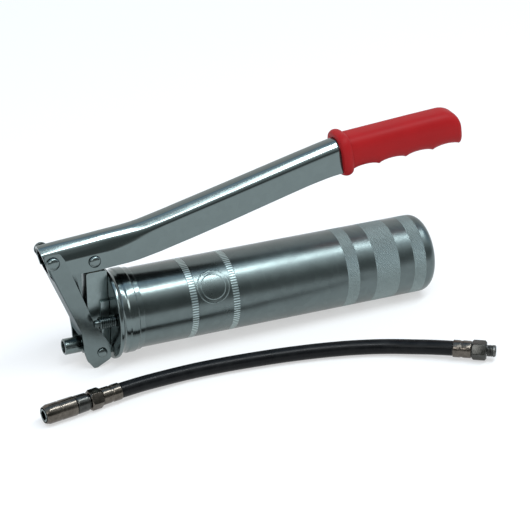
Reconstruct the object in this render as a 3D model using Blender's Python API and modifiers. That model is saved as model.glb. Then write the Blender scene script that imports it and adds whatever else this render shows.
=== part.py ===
"""Lever grease gun with a flexible hose: one object per physical piece.

The gun is drawn in its own frame, in millimetres: +X along the barrel from the pump head to the rear,
+Z up, Y = 0 the plane of symmetry, with the barrel's axis at Y = Z = 0. STANCE then stands it on the
ground, on the two lower ears of the link and on the rear edge of the barrel. The hose lies on the
same ground and is drawn in the ground's frame.
"""

import math

import bmesh
import bpy
from mathutils import Matrix, Vector

MM = 0.001
GAP = 0.3

# Stance: the ears' lowest point, the barrel's rear contact, and where the object's centre falls
EAR_X = -65.8
EAR_Z = -33.9
REAR_CONTACT_X = 183.5
CENTRE_SHIFT_X = 126.39

# Barrel
BARREL_R = 28.25
BARREL_WALL = 1.1
BARREL_FRONT_X = -48.2
BARREL_REAR_X = 191.0
BARREL_CORNER_R = 7.5
BARREL_REAR_HOLE_R = 4.6

# Head cap
CAP_FRONT_X = -54.0
CAP_WALL_X = -50.2
CAP_RIM_R = 32.3
CAP_NECK_R = 29.4
CAP_COLLAR_R = 30.0
CAP_LIP_R = 29.2
CAP_BORE_R = 28.55
CAP_END_X = -35.0
CAP_PORT_R = 6.2

# Pump block
BLOCK_FRONT_X = -69.0
BLOCK_BACK_X = -54.3
BLOCK_HALF_Y = 7.0
BLOCK_TOP_Z = 36.2
BLOCK_BOSS_R = 7.0
BORE_X = -62.7
BORE_R = 3.8
PLUNGER_R = 3.5
OUTLET_Z = -20.0
NOZZLE_R = 5.7
NOZZLE_FRONT_X = -85.5
NOZZLE_CHAMFER = 0.6
NOZZLE_BORE_R = 4.2

# Linkage: upper pin, lower pin, drive pin
PIN_A = (-94.0, 51.2)
PIN_B = (-61.6, -22.8)
PIN_C = (-63.8, 46.2)
LINK_INNER_Y = 11.0
LINK_T = 2.0
UPPER_PIN_R = 3.0
LOWER_PIN_R = 2.5
DRIVE_PIN_R = 2.5

# Lever and grip
LEVER_T = 1.5
LEVER_SHOULDER_DEPTH = 3.5
# The lobe on each cheek of the lever, in front of the pump block
CHEEK_LOBE = [(-91.0, 46.0), (-73.5, 46.0), (-73.5, 20.5), (-81.5, 20.5), (-91.0, 41.5)]
LEVER_HEAD_HALF = 10.7
GRIP_ANGLE = math.radians(4.2)
GRIP_START = (121.0, 89.6)
GRIP_HALF_W = 11.8
GRIP_HALF_H = 13.3
GRIP_LENGTH = 94.8

# Follower, measured with the follower at the front of the barrel
ROD_R = 3.0
SPRING_R = 19.0
SPRING_WIRE_R = 1.1
SPRING_TURNS = 9

# Hose, in the ground's frame (X from the front ears, before centring)
HOSE_R = 5.25
FITTING_AXIS_Z = 7.1
HOSE_MID_Z = 5.45
HOSE_ROUTE = [
    (-0.8, -61.6),
    (23.4, -57.7),
    (49.0, -55.4),
    (73.7, -56.3),
    (98.1, -58.8),
    (122.1, -62.4),
    (145.7, -67.3),
    (168.7, -73.9),
    (190.6, -82.8),
    (209.5, -94.5),
    (227.3, -106.6),
]
COUPLER_YAW = math.radians(188.9)
STUB_YAW = math.radians(-33.9)

MATERIALS = {
    "zinc_barrel": ((0.62, 0.68, 0.70), 1.0, 0.28),
    "zinc_head": ((0.58, 0.63, 0.65), 1.0, 0.32),
    "zinc_lever": ((0.66, 0.71, 0.72), 1.0, 0.26),
    "cast_block": ((0.45, 0.48, 0.47), 0.9, 0.42),
    "steel_pin": ((0.70, 0.71, 0.72), 1.0, 0.25),
    "bright_rod": ((0.75, 0.76, 0.78), 1.0, 0.18),
    "spring_steel": ((0.35, 0.36, 0.38), 1.0, 0.35),
    "brass_seat": ((0.72, 0.56, 0.28), 1.0, 0.30),
    "nickel_fitting": ((0.46, 0.43, 0.38), 1.0, 0.33),
    "hose_rubber": ((0.012, 0.013, 0.014), 0.0, 0.30),
    "seal_rubber": ((0.02, 0.02, 0.02), 0.0, 0.60),
    "red_grip": ((0.42, 0.02, 0.025), 0.0, 0.45),
}


def clear_scene():
    for obj in list(bpy.data.objects):
        bpy.data.objects.remove(obj)
    for mesh in list(bpy.data.meshes):
        bpy.data.meshes.remove(mesh)


clear_scene()

PARTS = bpy.data.collections.new("grease_gun")
bpy.context.scene.collection.children.link(PARTS)


def material(name):
    if name in bpy.data.materials:
        return bpy.data.materials[name]
    color, metallic, roughness = MATERIALS[name]
    mat = bpy.data.materials.new(name)
    mat.use_nodes = True
    shader = mat.node_tree.nodes["Principled BSDF"]
    shader.inputs["Base Color"].default_value = (*color, 1.0)
    shader.inputs["Metallic"].default_value = metallic
    shader.inputs["Roughness"].default_value = roughness
    mat.diffuse_color = (*color, 1.0)
    return mat


def adopt(data, name="piece"):
    obj = bpy.data.objects.new(name, data)
    PARTS.objects.link(obj)
    return obj


def bake(obj):
    """Turn an object with modifiers, or a curve, into a plain welded mesh."""
    bpy.context.view_layer.update()
    graph = bpy.context.evaluated_depsgraph_get()
    mesh = bpy.data.meshes.new_from_object(obj.evaluated_get(graph))
    mesh.transform(obj.matrix_world)
    bpy.data.objects.remove(obj)
    bm = bmesh.new()
    bm.from_mesh(mesh)
    bmesh.ops.remove_doubles(bm, verts=bm.verts, dist=1e-6)
    bmesh.ops.dissolve_degenerate(bm, edges=bm.edges, dist=1e-7)
    bmesh.ops.recalc_face_normals(bm, faces=bm.faces)
    bm.to_mesh(mesh)
    bm.free()
    return adopt(mesh)


def boolean(obj, cutter, operation="DIFFERENCE"):
    mod = obj.modifiers.new("cut", "BOOLEAN")
    mod.operation = operation
    mod.solver = "EXACT"
    mod.object = cutter
    result = bake(obj)
    bpy.data.objects.remove(cutter)
    return result


def axis_matrix(axis, origin):
    """Take local +Z onto the axis and the local origin to a point, both in millimetres."""
    turn = Vector((0, 0, 1)).rotation_difference(Vector(axis).normalized()).to_matrix().to_4x4()
    return Matrix.Translation(Vector(origin) * MM) @ turn


def lathe(profile, axis=(1, 0, 0), origin=(0, 0, 0), steps=48, closed=True):
    """Revolve (radius, height) points, given down the outer side, about an axis."""
    verts = [(r * MM, 0.0, h * MM) for r, h in profile]
    edges = [(i, i + 1) for i in range(len(verts) - 1)]
    if closed:
        edges.append((len(verts) - 1, 0))
    mesh = bpy.data.meshes.new("profile")
    mesh.from_pydata(verts, edges, [])
    obj = adopt(mesh)
    mod = obj.modifiers.new("turn", "SCREW")
    mod.axis = "Z"
    mod.angle = 2 * math.pi
    mod.steps = steps
    mod.render_steps = steps
    mod.use_merge_vertices = True
    mod.merge_threshold = 0.00001
    mod.use_smooth_shade = True
    obj.matrix_world = axis_matrix(axis, origin)
    return bake(obj)


def turned(outer, axis=(1, 0, 0), origin=(0, 0, 0), steps=48, bore=None):
    """A turned solid from its outer (height, radius) stations and an optional list for its bore."""
    down = [(r, h) for h, r in reversed(outer)]
    if bore:
        up = [(r, h) for h, r in bore]
        return lathe(down + up, axis, origin, steps)
    low = outer[0][0]
    high = outer[-1][0]
    return lathe([(0.0, high)] + down + [(0.0, low)], axis, origin, steps, closed=False)


def rod_cutter(radius, axis, start, end, steps=32):
    length = (Vector(end) - Vector(start)).length
    return turned([(0.0, radius), (length, radius)], axis, start, steps)


def plate(loops, y_low, y_high):
    """A flat outline in the XZ plane, with optional holes, given thickness along Y."""
    curve = bpy.data.curves.new("outline", "CURVE")
    curve.dimensions = "2D"
    curve.fill_mode = "BOTH"
    curve.extrude = (y_high - y_low) / 2 * MM
    for loop in loops:
        spline = curve.splines.new("POLY")
        spline.points.add(len(loop) - 1)
        for point, (x, z) in zip(spline.points, loop):
            point.co = (x * MM, z * MM, 0.0, 1.0)
        spline.use_cyclic_u = True
    obj = adopt(curve)
    middle = (y_low + y_high) / 2 * MM
    obj.matrix_world = Matrix.Translation((0, middle, 0)) @ Matrix.Rotation(math.pi / 2, 4, "X")
    return bake(obj)


def rounded(points, radii, count=5):
    """Replace each corner of a polygon by an arc of its own radius."""
    out = []
    total = len(points)
    for i, (point, radius) in enumerate(zip(points, radii)):
        if radius <= 0:
            out.append(point)
            continue
        here = Vector(point)
        back = (Vector(points[i - 1]) - here).normalized()
        ahead = (Vector(points[(i + 1) % total]) - here).normalized()
        half = back.angle(ahead) / 2
        reach = radius / math.tan(half)
        centre = here + (back + ahead).normalized() * (radius / math.sin(half))
        first = here + back * reach - centre
        last = here + ahead * reach - centre
        sweep = first.angle_signed(last)
        for k in range(count + 1):
            arm = first.copy()
            arm.rotate(Matrix.Rotation(-sweep * k / count, 2))
            out.append(tuple(centre + arm))
    return out


def box(low, high):
    size = Vector(high) - Vector(low)
    middle = (Vector(high) + Vector(low)) / 2
    bpy.ops.mesh.primitive_cube_add(size=1.0, location=middle * MM)
    obj = bpy.context.active_object
    obj.scale = size * MM
    for coll in list(obj.users_collection):
        coll.objects.unlink(obj)
    PARTS.objects.link(obj)
    return bake(obj)


def bevel_edges(obj, chosen, width, segments):
    """Round the edges whose two end points both satisfy a test."""
    bm = bmesh.new()
    bm.from_mesh(obj.data)
    picked = [e for e in bm.edges if chosen(e.verts[0].co / MM, e.verts[1].co / MM)]
    bmesh.ops.bevel(
        bm,
        geom=picked,
        offset=width * MM,
        offset_type="OFFSET",
        segments=segments,
        profile=0.5,
        affect="EDGES",
        clamp_overlap=True,
    )
    bm.to_mesh(obj.data)
    bm.free()
    return obj


def hexagon(across_flats, low, high, axis, origin, hole_r, chamfer=1.0, turn=0.0):
    """A hexagonal nut between two heights on an axis, with chamfered corners and a bore."""
    corner = across_flats / math.sqrt(3)
    bpy.ops.mesh.primitive_cylinder_add(vertices=6, radius=corner * MM, depth=(high - low) * MM)
    obj = bpy.context.active_object
    for coll in list(obj.users_collection):
        coll.objects.unlink(obj)
    PARTS.objects.link(obj)
    shift = Matrix.Translation((0, 0, (low + high) / 2 * MM))
    obj.matrix_world = axis_matrix(axis, origin) @ Matrix.Rotation(turn, 4, "Z") @ shift
    obj = bake(obj)
    inner = across_flats / 2 - 0.2
    dome = [(low - 0.01, inner), (low + chamfer, corner + 0.3), (high - chamfer, corner + 0.3)]
    dome.append((high + 0.01, inner))
    obj = boolean(obj, turned(dome, axis, origin, 24), "INTERSECT")
    reach = Vector(axis).normalized()
    start = Vector(origin) + reach * (low - 1)
    end = Vector(origin) + reach * (high + 1)
    return boolean(obj, rod_cutter(hole_r, axis, start, end, 16))


def coil(x0, x1, radius, wire_r, turns, per_turn, centre_z=0.0):
    """A compression spring along X."""
    curve = bpy.data.curves.new("coil", "CURVE")
    curve.dimensions = "3D"
    curve.bevel_depth = wire_r * MM
    curve.bevel_resolution = 2
    curve.use_fill_caps = True
    count = int(turns * per_turn) + 1
    spline = curve.splines.new("POLY")
    spline.points.add(count - 1)
    for i, point in enumerate(spline.points):
        angle = 2 * math.pi * i / per_turn
        x = x0 + (x1 - x0) * i / (count - 1)
        y = radius * math.cos(angle)
        z = centre_z + radius * math.sin(angle)
        point.co = (x * MM, y * MM, z * MM, 1.0)
    return bake(adopt(curve))


def loft(rings, cap=True, cyclic=True):
    """Skin a list of rings of equal length, in millimetres."""
    mesh = bpy.data.meshes.new("loft")
    count = len(rings[0])
    verts = [tuple(c * MM for c in p) for ring in rings for p in ring]
    faces = []
    span = count if cyclic else count - 1
    for i in range(len(rings) - 1):
        for j in range(span):
            k = (j + 1) % count
            a = i * count
            b = a + count
            faces.append((a + j, a + k, b + k, b + j))
    if cap:
        faces.append(tuple(range(count)))
        faces.append(tuple(reversed(range((len(rings) - 1) * count, len(rings) * count))))
    mesh.from_pydata(verts, [], faces)
    return adopt(mesh)


# --- Stance ---------------------------------------------------------------------------------------

TILT = math.atan((EAR_Z * -1 - BARREL_R) / (REAR_CONTACT_X - EAR_X))
STANCE = (
    Matrix.Translation((-CENTRE_SHIFT_X * MM, 0, 0))
    @ Matrix.Rotation(TILT, 4, "Y")
    @ Matrix.Translation((-EAR_X * MM, 0, -EAR_Z * MM))
)
GROUND = Matrix.Translation((-CENTRE_SHIFT_X * MM, 0, 0))


def finish(obj, name, mat, origin=(0, 0, 0), frame=None, smooth=True):
    """Name a piece, give it its material and its own origin, and set it in the shared frame."""
    frame = STANCE if frame is None else frame
    obj.name = name
    obj.data.name = name
    obj.data.transform(Matrix.Translation(Vector(origin) * -MM))
    obj.data.materials.clear()
    obj.data.materials.append(material(mat))
    if smooth:
        obj.data.shade_smooth()
        obj.data.set_sharp_from_angle(angle=math.radians(32))
    obj.matrix_world = frame @ Matrix.Translation(Vector(origin) * MM)
    return obj


# --- Barrel and head ------------------------------------------------------------------------------


def corner_arc(cx, radius, first, last, count):
    """(station, radius) points round the barrel's rear corner."""
    out = []
    for i in range(count + 1):
        angle = math.radians(first + (last - first) * i / count)
        out.append((cx + radius * math.sin(angle), BARREL_R - BARREL_CORNER_R + radius * math.cos(angle)))
    return out


def make_barrel():
    cx = BARREL_REAR_X - BARREL_CORNER_R
    outer = [(BARREL_FRONT_X, BARREL_R)]
    outer += corner_arc(cx, BARREL_CORNER_R, 0, 90, 5)
    outer.append((BARREL_REAR_X, BARREL_REAR_HOLE_R))
    inner_x = BARREL_REAR_X - BARREL_WALL
    bore = [(inner_x, BARREL_REAR_HOLE_R)]
    bore += list(reversed(corner_arc(cx, BARREL_CORNER_R - BARREL_WALL, 0, 90, 3)))
    bore.append((BARREL_FRONT_X, BARREL_R - BARREL_WALL))
    profile = [(r, x) for x, r in outer] + [(r, x) for x, r in bore]
    return finish(lathe(list(reversed(profile)), steps=40), "barrel_tube", "zinc_barrel")


def make_head_cap():
    outer = [
        (CAP_FRONT_X, 31.5),
        (CAP_FRONT_X + 1.4, CAP_RIM_R),
        (CAP_FRONT_X + 2.4, CAP_RIM_R),
        (CAP_FRONT_X + 3.6, 31.4),
        (CAP_FRONT_X + 4.8, 30.0),
        (CAP_FRONT_X + 6.0, CAP_NECK_R),
        (CAP_FRONT_X + 8.2, CAP_NECK_R),
        (CAP_FRONT_X + 9.5, CAP_COLLAR_R),
        (CAP_FRONT_X + 15.0, CAP_COLLAR_R),
        (CAP_FRONT_X + 15.8, CAP_LIP_R),
        (CAP_END_X, CAP_LIP_R),
    ]
    bore = [(CAP_FRONT_X, CAP_PORT_R), (CAP_WALL_X, CAP_PORT_R), (CAP_WALL_X, CAP_BORE_R)]
    bore.append((CAP_END_X, CAP_BORE_R))
    cap = turned(outer, steps=40, bore=bore)
    start = (CAP_FRONT_X - 1, -18.5, 3.0)
    end = (CAP_WALL_X + 1, -18.5, 3.0)
    cap = boolean(cap, rod_cutter(3.3, (1, 0, 0), start, end, 24))
    return finish(cap, "head_cap", "zinc_head")


def make_gasket():
    ring = turned([(-49.9, 28.2), (-48.5, 28.2)], bore=[(-49.9, 24.6), (-48.5, 24.6)], steps=36)
    return finish(ring, "head_gasket", "seal_rubber")


def make_block():
    body = box(
        (BLOCK_FRONT_X, -BLOCK_HALF_Y, -27.5),
        (BLOCK_BACK_X, BLOCK_HALF_Y, BLOCK_TOP_Z),
    )

    def front_or_top(a, b):
        upright = abs(a.x - BLOCK_FRONT_X) < 0.01 and abs(b.x - BLOCK_FRONT_X) < 0.01
        upright = upright and abs(a.y - b.y) < 0.01
        top = abs(a.z - BLOCK_TOP_Z) < 0.01 and abs(b.z - BLOCK_TOP_Z) < 0.01
        return upright or top

    body = bevel_edges(body, front_or_top, 1.8, 3)
    boss = rod_cutter(BLOCK_BOSS_R, (0, 1, 0), (PIN_B[0], -10.7, PIN_B[1]), (PIN_B[0], 10.7, PIN_B[1]), 28)
    body = boolean(body, boss, "UNION")
    foot = box((BLOCK_BACK_X - 6.0, -9.5, -26.3), (BLOCK_BACK_X, 9.5, 14.0))
    body = boolean(body, foot, "UNION")
    spigot = rod_cutter(5.9, (1, 0, 0), (-58.0, 0, 0), (-45.6, 0, 0), 24)
    body = boolean(body, spigot, "UNION")
    bore = rod_cutter(BORE_R, (0, 0, 1), (BORE_X, 0, -13.0), (BORE_X, 0, BLOCK_TOP_Z + 2), 24)
    body = boolean(body, bore)
    body = boolean(body, rod_cutter(2.4, (1, 0, 0), (BORE_X, 0, 0), (-44.0, 0, 0), 20))
    pin = rod_cutter(
        LOWER_PIN_R + GAP, (0, 1, 0), (PIN_B[0], -12, PIN_B[1]), (PIN_B[0], 12, PIN_B[1]), 20
    )
    body = boolean(body, pin)
    body = boolean(
        body, rod_cutter(4.5, (1, 0, 0), (BLOCK_FRONT_X - 1, 0, OUTLET_Z), (-67.4, 0, OUTLET_Z), 24)
    )
    body = boolean(
        body, rod_cutter(2.2, (1, 0, 0), (BLOCK_FRONT_X - 1, 0, OUTLET_Z), (-65.7, 0, OUTLET_Z), 16)
    )
    body = boolean(body, rod_cutter(1.1, (0, 0, 1), (-65.9, 0, OUTLET_Z), (-65.9, 0, -12.0), 12))
    return finish(body, "pump_block", "cast_block")


def make_spigot_nut():
    nut = hexagon(18.0, -49.9, -46.4, (1, 0, 0), (0, 0, 0), 6.2, 0.7)
    return finish(nut, "spigot_nut", "steel_pin", (-48.0, 0, 0))


def make_gland():
    low = BLOCK_TOP_Z + GAP
    ring = turned(
        [(low, 5.8), (low + 1.8, 5.8), (low + 2.3, 5.3)],
        (0, 0, 1),
        (BORE_X, 0, 0),
        24,
        [(low, BORE_R), (low + 2.3, BORE_R)],
    )
    return finish(ring, "plunger_gland", "brass_seat", (BORE_X, 0, low))


def make_nozzle():
    outer = [
        (NOZZLE_FRONT_X, NOZZLE_R - NOZZLE_CHAMFER),
        (NOZZLE_FRONT_X + NOZZLE_CHAMFER, NOZZLE_R),
        (BLOCK_FRONT_X - GAP, NOZZLE_R),
        (BLOCK_FRONT_X - GAP, 4.2),
        (-67.7, 4.2),
    ]
    bore = [
        (NOZZLE_FRONT_X, NOZZLE_BORE_R),
        (-79.8, NOZZLE_BORE_R),
        (-79.8, 2.9),
        (-70.5, 2.9),
        (-70.5, 1.5),
        (-67.7, 1.5),
    ]
    nozzle = turned(outer, (1, 0, 0), (0, 0, OUTLET_Z), 24, bore)
    return finish(nozzle, "outlet_nozzle", "zinc_head", (NOZZLE_FRONT_X, 0, OUTLET_Z))


def make_valve():
    bpy.ops.mesh.primitive_uv_sphere_add(segments=12, ring_count=8, radius=2.3 * MM)
    ball = bpy.context.active_object
    for coll in list(ball.users_collection):
        coll.objects.unlink(ball)
    PARTS.objects.link(ball)
    ball.matrix_world = Matrix.Translation(Vector((-72.6, 0, OUTLET_Z)) * MM)
    finish(bake(ball), "valve_ball", "steel_pin", (-72.6, 0, OUTLET_Z))
    spring = coil(-78.1, -75.5, 2.0, 0.25, 2.5, 8, OUTLET_Z)
    finish(spring, "valve_spring", "spring_steel", (-78.1, 0, OUTLET_Z))
    ring = turned(
        [(-79.6, 2.6), (-78.8, 2.6)], (1, 0, 0), (0, 0, OUTLET_Z), 16, [(-79.6, 1.1), (-78.8, 1.1)]
    )
    finish(ring, "valve_retainer", "brass_seat", (-79.2, 0, OUTLET_Z))


def make_bleeder():
    stations = [(-68.6, 2.1), (-68.0, 2.6), (-65.3, 2.6), (-65.3, 3.9)]
    x = -64.9
    while x < -55.6:
        stations += [(x, 4.4), (x + 0.8, 4.4), (x + 1.2, 3.9), (x + 1.8, 3.9)]
        x += 2.3
    stations += [(-54.3, 4.4), (-54.3, 3.0), (-50.6, 3.0)]
    screw = turned(stations, (1, 0, 0), (0, -18.5, 3.0), 16)
    screw = boolean(screw, box((-69.6, -18.93, -0.5), (-67.0, -18.07, 6.5)))
    return finish(screw, "bleeder_screw", "steel_pin", (-54.3, -18.5, 3.0))


# --- Follower -------------------------------------------------------------------------------------


def make_bush():
    outer = [(185.4, 8.0), (189.6, 8.0), (189.6, 4.3), (191.8, 4.3)]
    bush = turned(outer, steps=28, bore=[(185.4, ROD_R + GAP), (191.8, ROD_R + GAP)])
    return finish(bush, "rod_bush", "brass_seat", (189.6, 0, 0))


def make_follower():
    rod = turned(
        [
            (-45.2, ROD_R - 0.4),
            (-44.8, ROD_R),
            (-34.0, ROD_R),
            (-34.0, 5.0),
            (-32.0, 5.0),
            (-32.0, ROD_R),
            (196.2, ROD_R),
        ],
        steps=20,
    )
    finish(rod, "follower_rod", "bright_rod", (-34.0, 0, 0))
    nut = hexagon(10.0, -44.4, -40.6, (1, 0, 0), (0, 0, 0), ROD_R + GAP, 0.6)
    finish(nut, "rod_nut", "steel_pin", (-42.0, 0, 0))
    front = turned(
        [(-40.3, 21.4), (-39.9, 22.0), (-39.1, 22.0)],
        bore=[(-40.3, ROD_R + GAP), (-39.1, ROD_R + GAP)],
        steps=36,
    )
    finish(front, "front_plate", "zinc_head", (-39.7, 0, 0))
    cup = turned(
        [(-45.5, 26.85), (-36.4, 26.85), (-36.0, 26.4)],
        bore=[
            (-45.5, 25.6),
            (-38.8, 24.6),
            (-38.8, ROD_R + GAP),
            (-36.0, ROD_R + GAP),
        ],
        steps=36,
    )
    finish(cup, "follower_cup", "seal_rubber", (-38.8, 0, 0))
    back = turned(
        [(-35.7, 24.0), (-34.3, 24.0)],
        bore=[(-35.7, ROD_R + GAP), (-34.3, ROD_R + GAP)],
        steps=36,
    )
    finish(back, "back_plate", "zinc_head", (-35.0, 0, 0))
    spring = coil(-32.9, 183.9, SPRING_R, SPRING_WIRE_R, SPRING_TURNS, 11)
    finish(spring, "follower_spring", "spring_steel", (183.9, 0, 0))
    knob = turned(
        [
            (192.2, 7.0),
            (192.8, 7.4),
            (193.6, 7.4),
            (194.2, 10.6),
            (194.6, 11.0),
            (195.8, 11.0),
            (196.6, 10.2),
        ],
        bore=[(192.2, ROD_R + GAP), (196.6, ROD_R + GAP)],
        steps=24,
    )
    finish(knob, "rod_knob", "bright_rod", (194.4, 0, 0))


# --- Linkage --------------------------------------------------------------------------------------

FRONT_TOP = (-99.6, 52.6)
FRONT_LOW = (-75.9, -5.0)
FAR_END_R = 4.9


def far_end_outline(count):
    """What is cut from the far arm's upper end, to leave it round about its pin."""
    outline = []
    for i in range(count + 1):
        angle = math.radians(174 - 136 * i / count)
        outline.append((PIN_A[0] + FAR_END_R * math.cos(angle), PIN_A[1] + FAR_END_R * math.sin(angle)))
    return outline + [(-81.0, 51.3), (-81.0, 63.0), (-108.0, 63.0), (-108.0, 51.1)]


def make_link():
    outline = [
        FRONT_TOP,
        (-99.4, 57.8),
        (-88.9, 57.8),
        (-85.6, 52.4),
        (-73.9, 20.9),
        (-66.1, -0.7),
        (-55.1, -18.6),
        (-55.4, -28.7),
        (-65.4, EAR_Z),
        (-67.8, EAR_Z),
        (-72.2, -28.1),
        (-74.6, -19.8),
        (-74.8, -14.0),
        FRONT_LOW,
    ]
    radii = [0, 1.5, 2.0, 3.0, 0, 8.0, 3.0, 3.0, 1.0, 1.0, 2.0, 2.0, 3.0, 0]
    width = LINK_INNER_Y + LINK_T
    body = plate([rounded(outline, radii, 3)], -width, width)

    def front_edge(a, b):
        on = abs(abs(a.y) - width) < 0.01 and abs(a.y - b.y) < 0.01
        ends = [abs(a.x - FRONT_TOP[0]) < 0.02 and abs(b.x - FRONT_LOW[0]) < 0.02]
        ends.append(abs(b.x - FRONT_TOP[0]) < 0.02 and abs(a.x - FRONT_LOW[0]) < 0.02)
        return on and any(ends)

    body = bevel_edges(body, front_edge, 2.4, 3)
    run = (Vector(FRONT_LOW) - Vector(FRONT_TOP)).normalized()
    inward = Vector((-run.y, run.x))
    if inward.x < 0:
        inward = -inward

    def along(z, depth):
        start = Vector(FRONT_TOP) + inward * depth
        t = (z - start.y) / run.y
        return (start.x + run.x * t, z)

    web_top = 36.5
    web_low = -11.0
    cut = [
        (-110.0, web_top),
        along(web_top, -3.0),
        along(web_top, LINK_T),
        along(web_low, LINK_T),
        along(web_low, -3.0),
        (-90.0, web_low),
        (-90.0, -45.0),
        (-45.0, -45.0),
        (-45.0, 70.0),
        (-110.0, 70.0),
    ]
    hollow = plate([cut], -LINK_INNER_Y, LINK_INNER_Y)
    body = boolean(body, plate([far_end_outline(7)], LINK_INNER_Y - 0.7, width + 1.0))
    body = boolean(body, hollow)
    for (x, z), radius in ((PIN_A, UPPER_PIN_R), (PIN_B, LOWER_PIN_R)):
        body = boolean(body, rod_cutter(radius + GAP, (0, 1, 0), (x, -20, z), (x, 20, z), 20))
    return finish(body, "link_plate", "zinc_lever", (PIN_B[0], 0, PIN_B[1]))


def make_rivet(name, centre, shank_r, head_r, dome, under_y):
    """A rivet along Y with a domed head at each end."""
    half = [(under_y, shank_r), (under_y, head_r)]
    for i in range(1, 4):
        angle = math.pi / 2 * i / 4
        if i < 4:
            half.append((under_y + dome * math.sin(angle), head_r * math.cos(angle)))
    stations = [(-h, r) for h, r in reversed(half)] + half
    top = under_y + dome
    profile = [(0.0, top)] + [(r, h) for h, r in reversed(stations)] + [(0.0, -top)]
    rivet = lathe(profile, (0, 1, 0), (centre[0], 0, centre[1]), 16, closed=False)
    return finish(rivet, name, "steel_pin", (centre[0], 0, centre[1]))


def make_plunger():
    rod = turned(
        [(-9.5, PLUNGER_R - 0.5), (-9.0, PLUNGER_R), (41.0, PLUNGER_R)], (0, 0, 1), (BORE_X, 0, 0), 24
    )
    slot_z = PIN_C[1] + 0.33
    head = plate(
        [rounded([(-70.5, 39.4), (-54.9, 39.4), (-54.9, 53.2), (-70.5, 53.2)], [2, 2, 5, 5], 4)],
        -5.5,
        5.5,
    )
    body = boolean(head, rod, "UNION")
    half_x = DRIVE_PIN_R + GAP + 1.25
    half_z = DRIVE_PIN_R + GAP + 0.35
    low_x = BORE_X - half_x
    high_x = BORE_X + half_x
    window = rounded(
        [
            (low_x, slot_z - half_z),
            (high_x, slot_z - half_z),
            (high_x, slot_z + half_z),
            (low_x, slot_z + half_z),
        ],
        [2.7, 2.7, 2.7, 2.7],
        5,
    )
    body = boolean(body, plate([window], -8.0, 8.0))
    return finish(body, "plunger", "bright_rod", (BORE_X, 0, slot_z))


# --- Lever ----------------------------------------------------------------------------------------

# (top x, top z, bottom x, bottom z, half width, half width of the flat top, shoulder's, depth to the side)
LEVER_STATIONS = [
    (-100.5, 59.1, -96.0, 41.6, 10.7, 2.4, 6.9, 10.0),
    (-90.0, 60.1, -87.5, 39.2, 10.7, 2.4, 6.9, 10.2),
    (-68.1, 61.7, -67.0, 39.0, 10.7, 2.5, 6.9, 10.4),
    (-58.0, 62.5, -56.5, 39.5, 10.7, 2.6, 6.9, 10.8),
    (-50.0, 63.1, -48.0, 40.0, 10.5, 2.7, 7.0, 11.2),
    (-43.0, 63.6, -40.5, 40.3, 10.2, 2.8, 7.1, 10.8),
    (-36.0, 64.3, -32.6, 41.0, 9.9, 2.9, 7.2, 9.9),
    (-29.0, 65.3, -24.9, 42.3, 9.6, 3.0, 7.4, 9.0),
    (-21.0, 67.0, -16.3, 43.9, 9.4, 3.1, 7.5, 8.2),
    (-10.0, 69.5, -5.0, 46.6, 9.3, 3.2, 7.6, 7.6),
    (2.0, 72.5, 7.0, 49.5, 9.3, 3.2, 7.6, 7.5),
    (30.0, 79.4, 36.2, 57.0, 9.3, 3.2, 7.6, 7.5),
    (95.0, 95.7, 101.0, 74.3, 9.3, 3.2, 7.6, 7.5),
    (110.0, 99.3, 114.4, 77.0, 9.3, 3.2, 7.6, 7.5),
    (119.5, 101.3, 122.6, 78.2, 9.3, 3.2, 7.6, 7.5),
    (121.5, 101.5, 124.4, 79.9, 9.3, 3.2, 7.6, 7.5),
    (126.0, 101.7, 128.0, 81.8, 9.3, 3.2, 7.6, 7.5),
    (150.0, 103.2, 151.6, 83.7, 9.3, 3.2, 7.6, 7.5),
    (199.5, 106.8, 201.0, 87.4, 9.3, 3.2, 7.6, 7.5),
]


def lever_section(station, grow=0.0):
    """One U section of the lever's outer skin, from its near lower edge over the top to the far one."""
    top_x, top_z, low_x, low_z, half, flat, shoulder, drop = station
    top = Vector((top_x, 0, top_z))
    down = Vector((low_x - top_x, 0, low_z - top_z))
    depth = down.length
    down.normalize()
    top = top - down * grow
    depth += 2 * grow
    half += grow
    shoulder += grow
    lean = half - shoulder
    round_share = max(0.0, min(1.0, (4.0 - lean) / 2.3))
    middle_depth = LEVER_SHOULDER_DEPTH + 0.46 * (drop - LEVER_SHOULDER_DEPTH)
    side = [
        (half, depth),
        (half, depth * 0.6),
        (half, drop + grow),
        (shoulder + lean * (0.5 + 0.24 * round_share), middle_depth),
        (shoulder, LEVER_SHOULDER_DEPTH),
        (flat + 0.5 * (shoulder - flat) + 0.2, LEVER_SHOULDER_DEPTH * 0.43),
        (flat + 0.8, 0.3),
        (flat, 0.0),
    ]
    points = [top + Vector((0, -w, 0)) + down * d for w, d in side]
    points += [top + Vector((0, w, 0)) + down * d for w, d in reversed(side)]
    return points


def make_lever():
    skin = loft([lever_section(s) for s in LEVER_STATIONS], cap=False, cyclic=False)
    outward = skin.data.polygons[len(lever_section(LEVER_STATIONS[0])) // 2 - 1].normal.z
    if outward < 0:
        skin.data.flip_normals()
    mod = skin.modifiers.new("sheet", "SOLIDIFY")
    mod.thickness = LEVER_T * MM
    mod.offset = -1.0
    mod.use_even_offset = True
    mod.use_rim = True
    lever = bake(skin)
    outer = LEVER_STATIONS[0][4] - 0.02
    for side in (-1, 1):
        ends = sorted((side * (outer - LEVER_T + 0.04), side * outer))
        lever = boolean(lever, plate([rounded(CHEEK_LOBE, [0, 0, 2.0, 2.0, 0], 3)], *ends), "UNION")
    for (x, z), radius in ((PIN_A, UPPER_PIN_R), (PIN_C, DRIVE_PIN_R)):
        lever = boolean(lever, rod_cutter(radius + GAP, (0, 1, 0), (x, -20, z), (x, 20, z), 20))
    return finish(lever, "lever_channel", "zinc_lever", (PIN_A[0], 0, PIN_A[1]))


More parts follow.
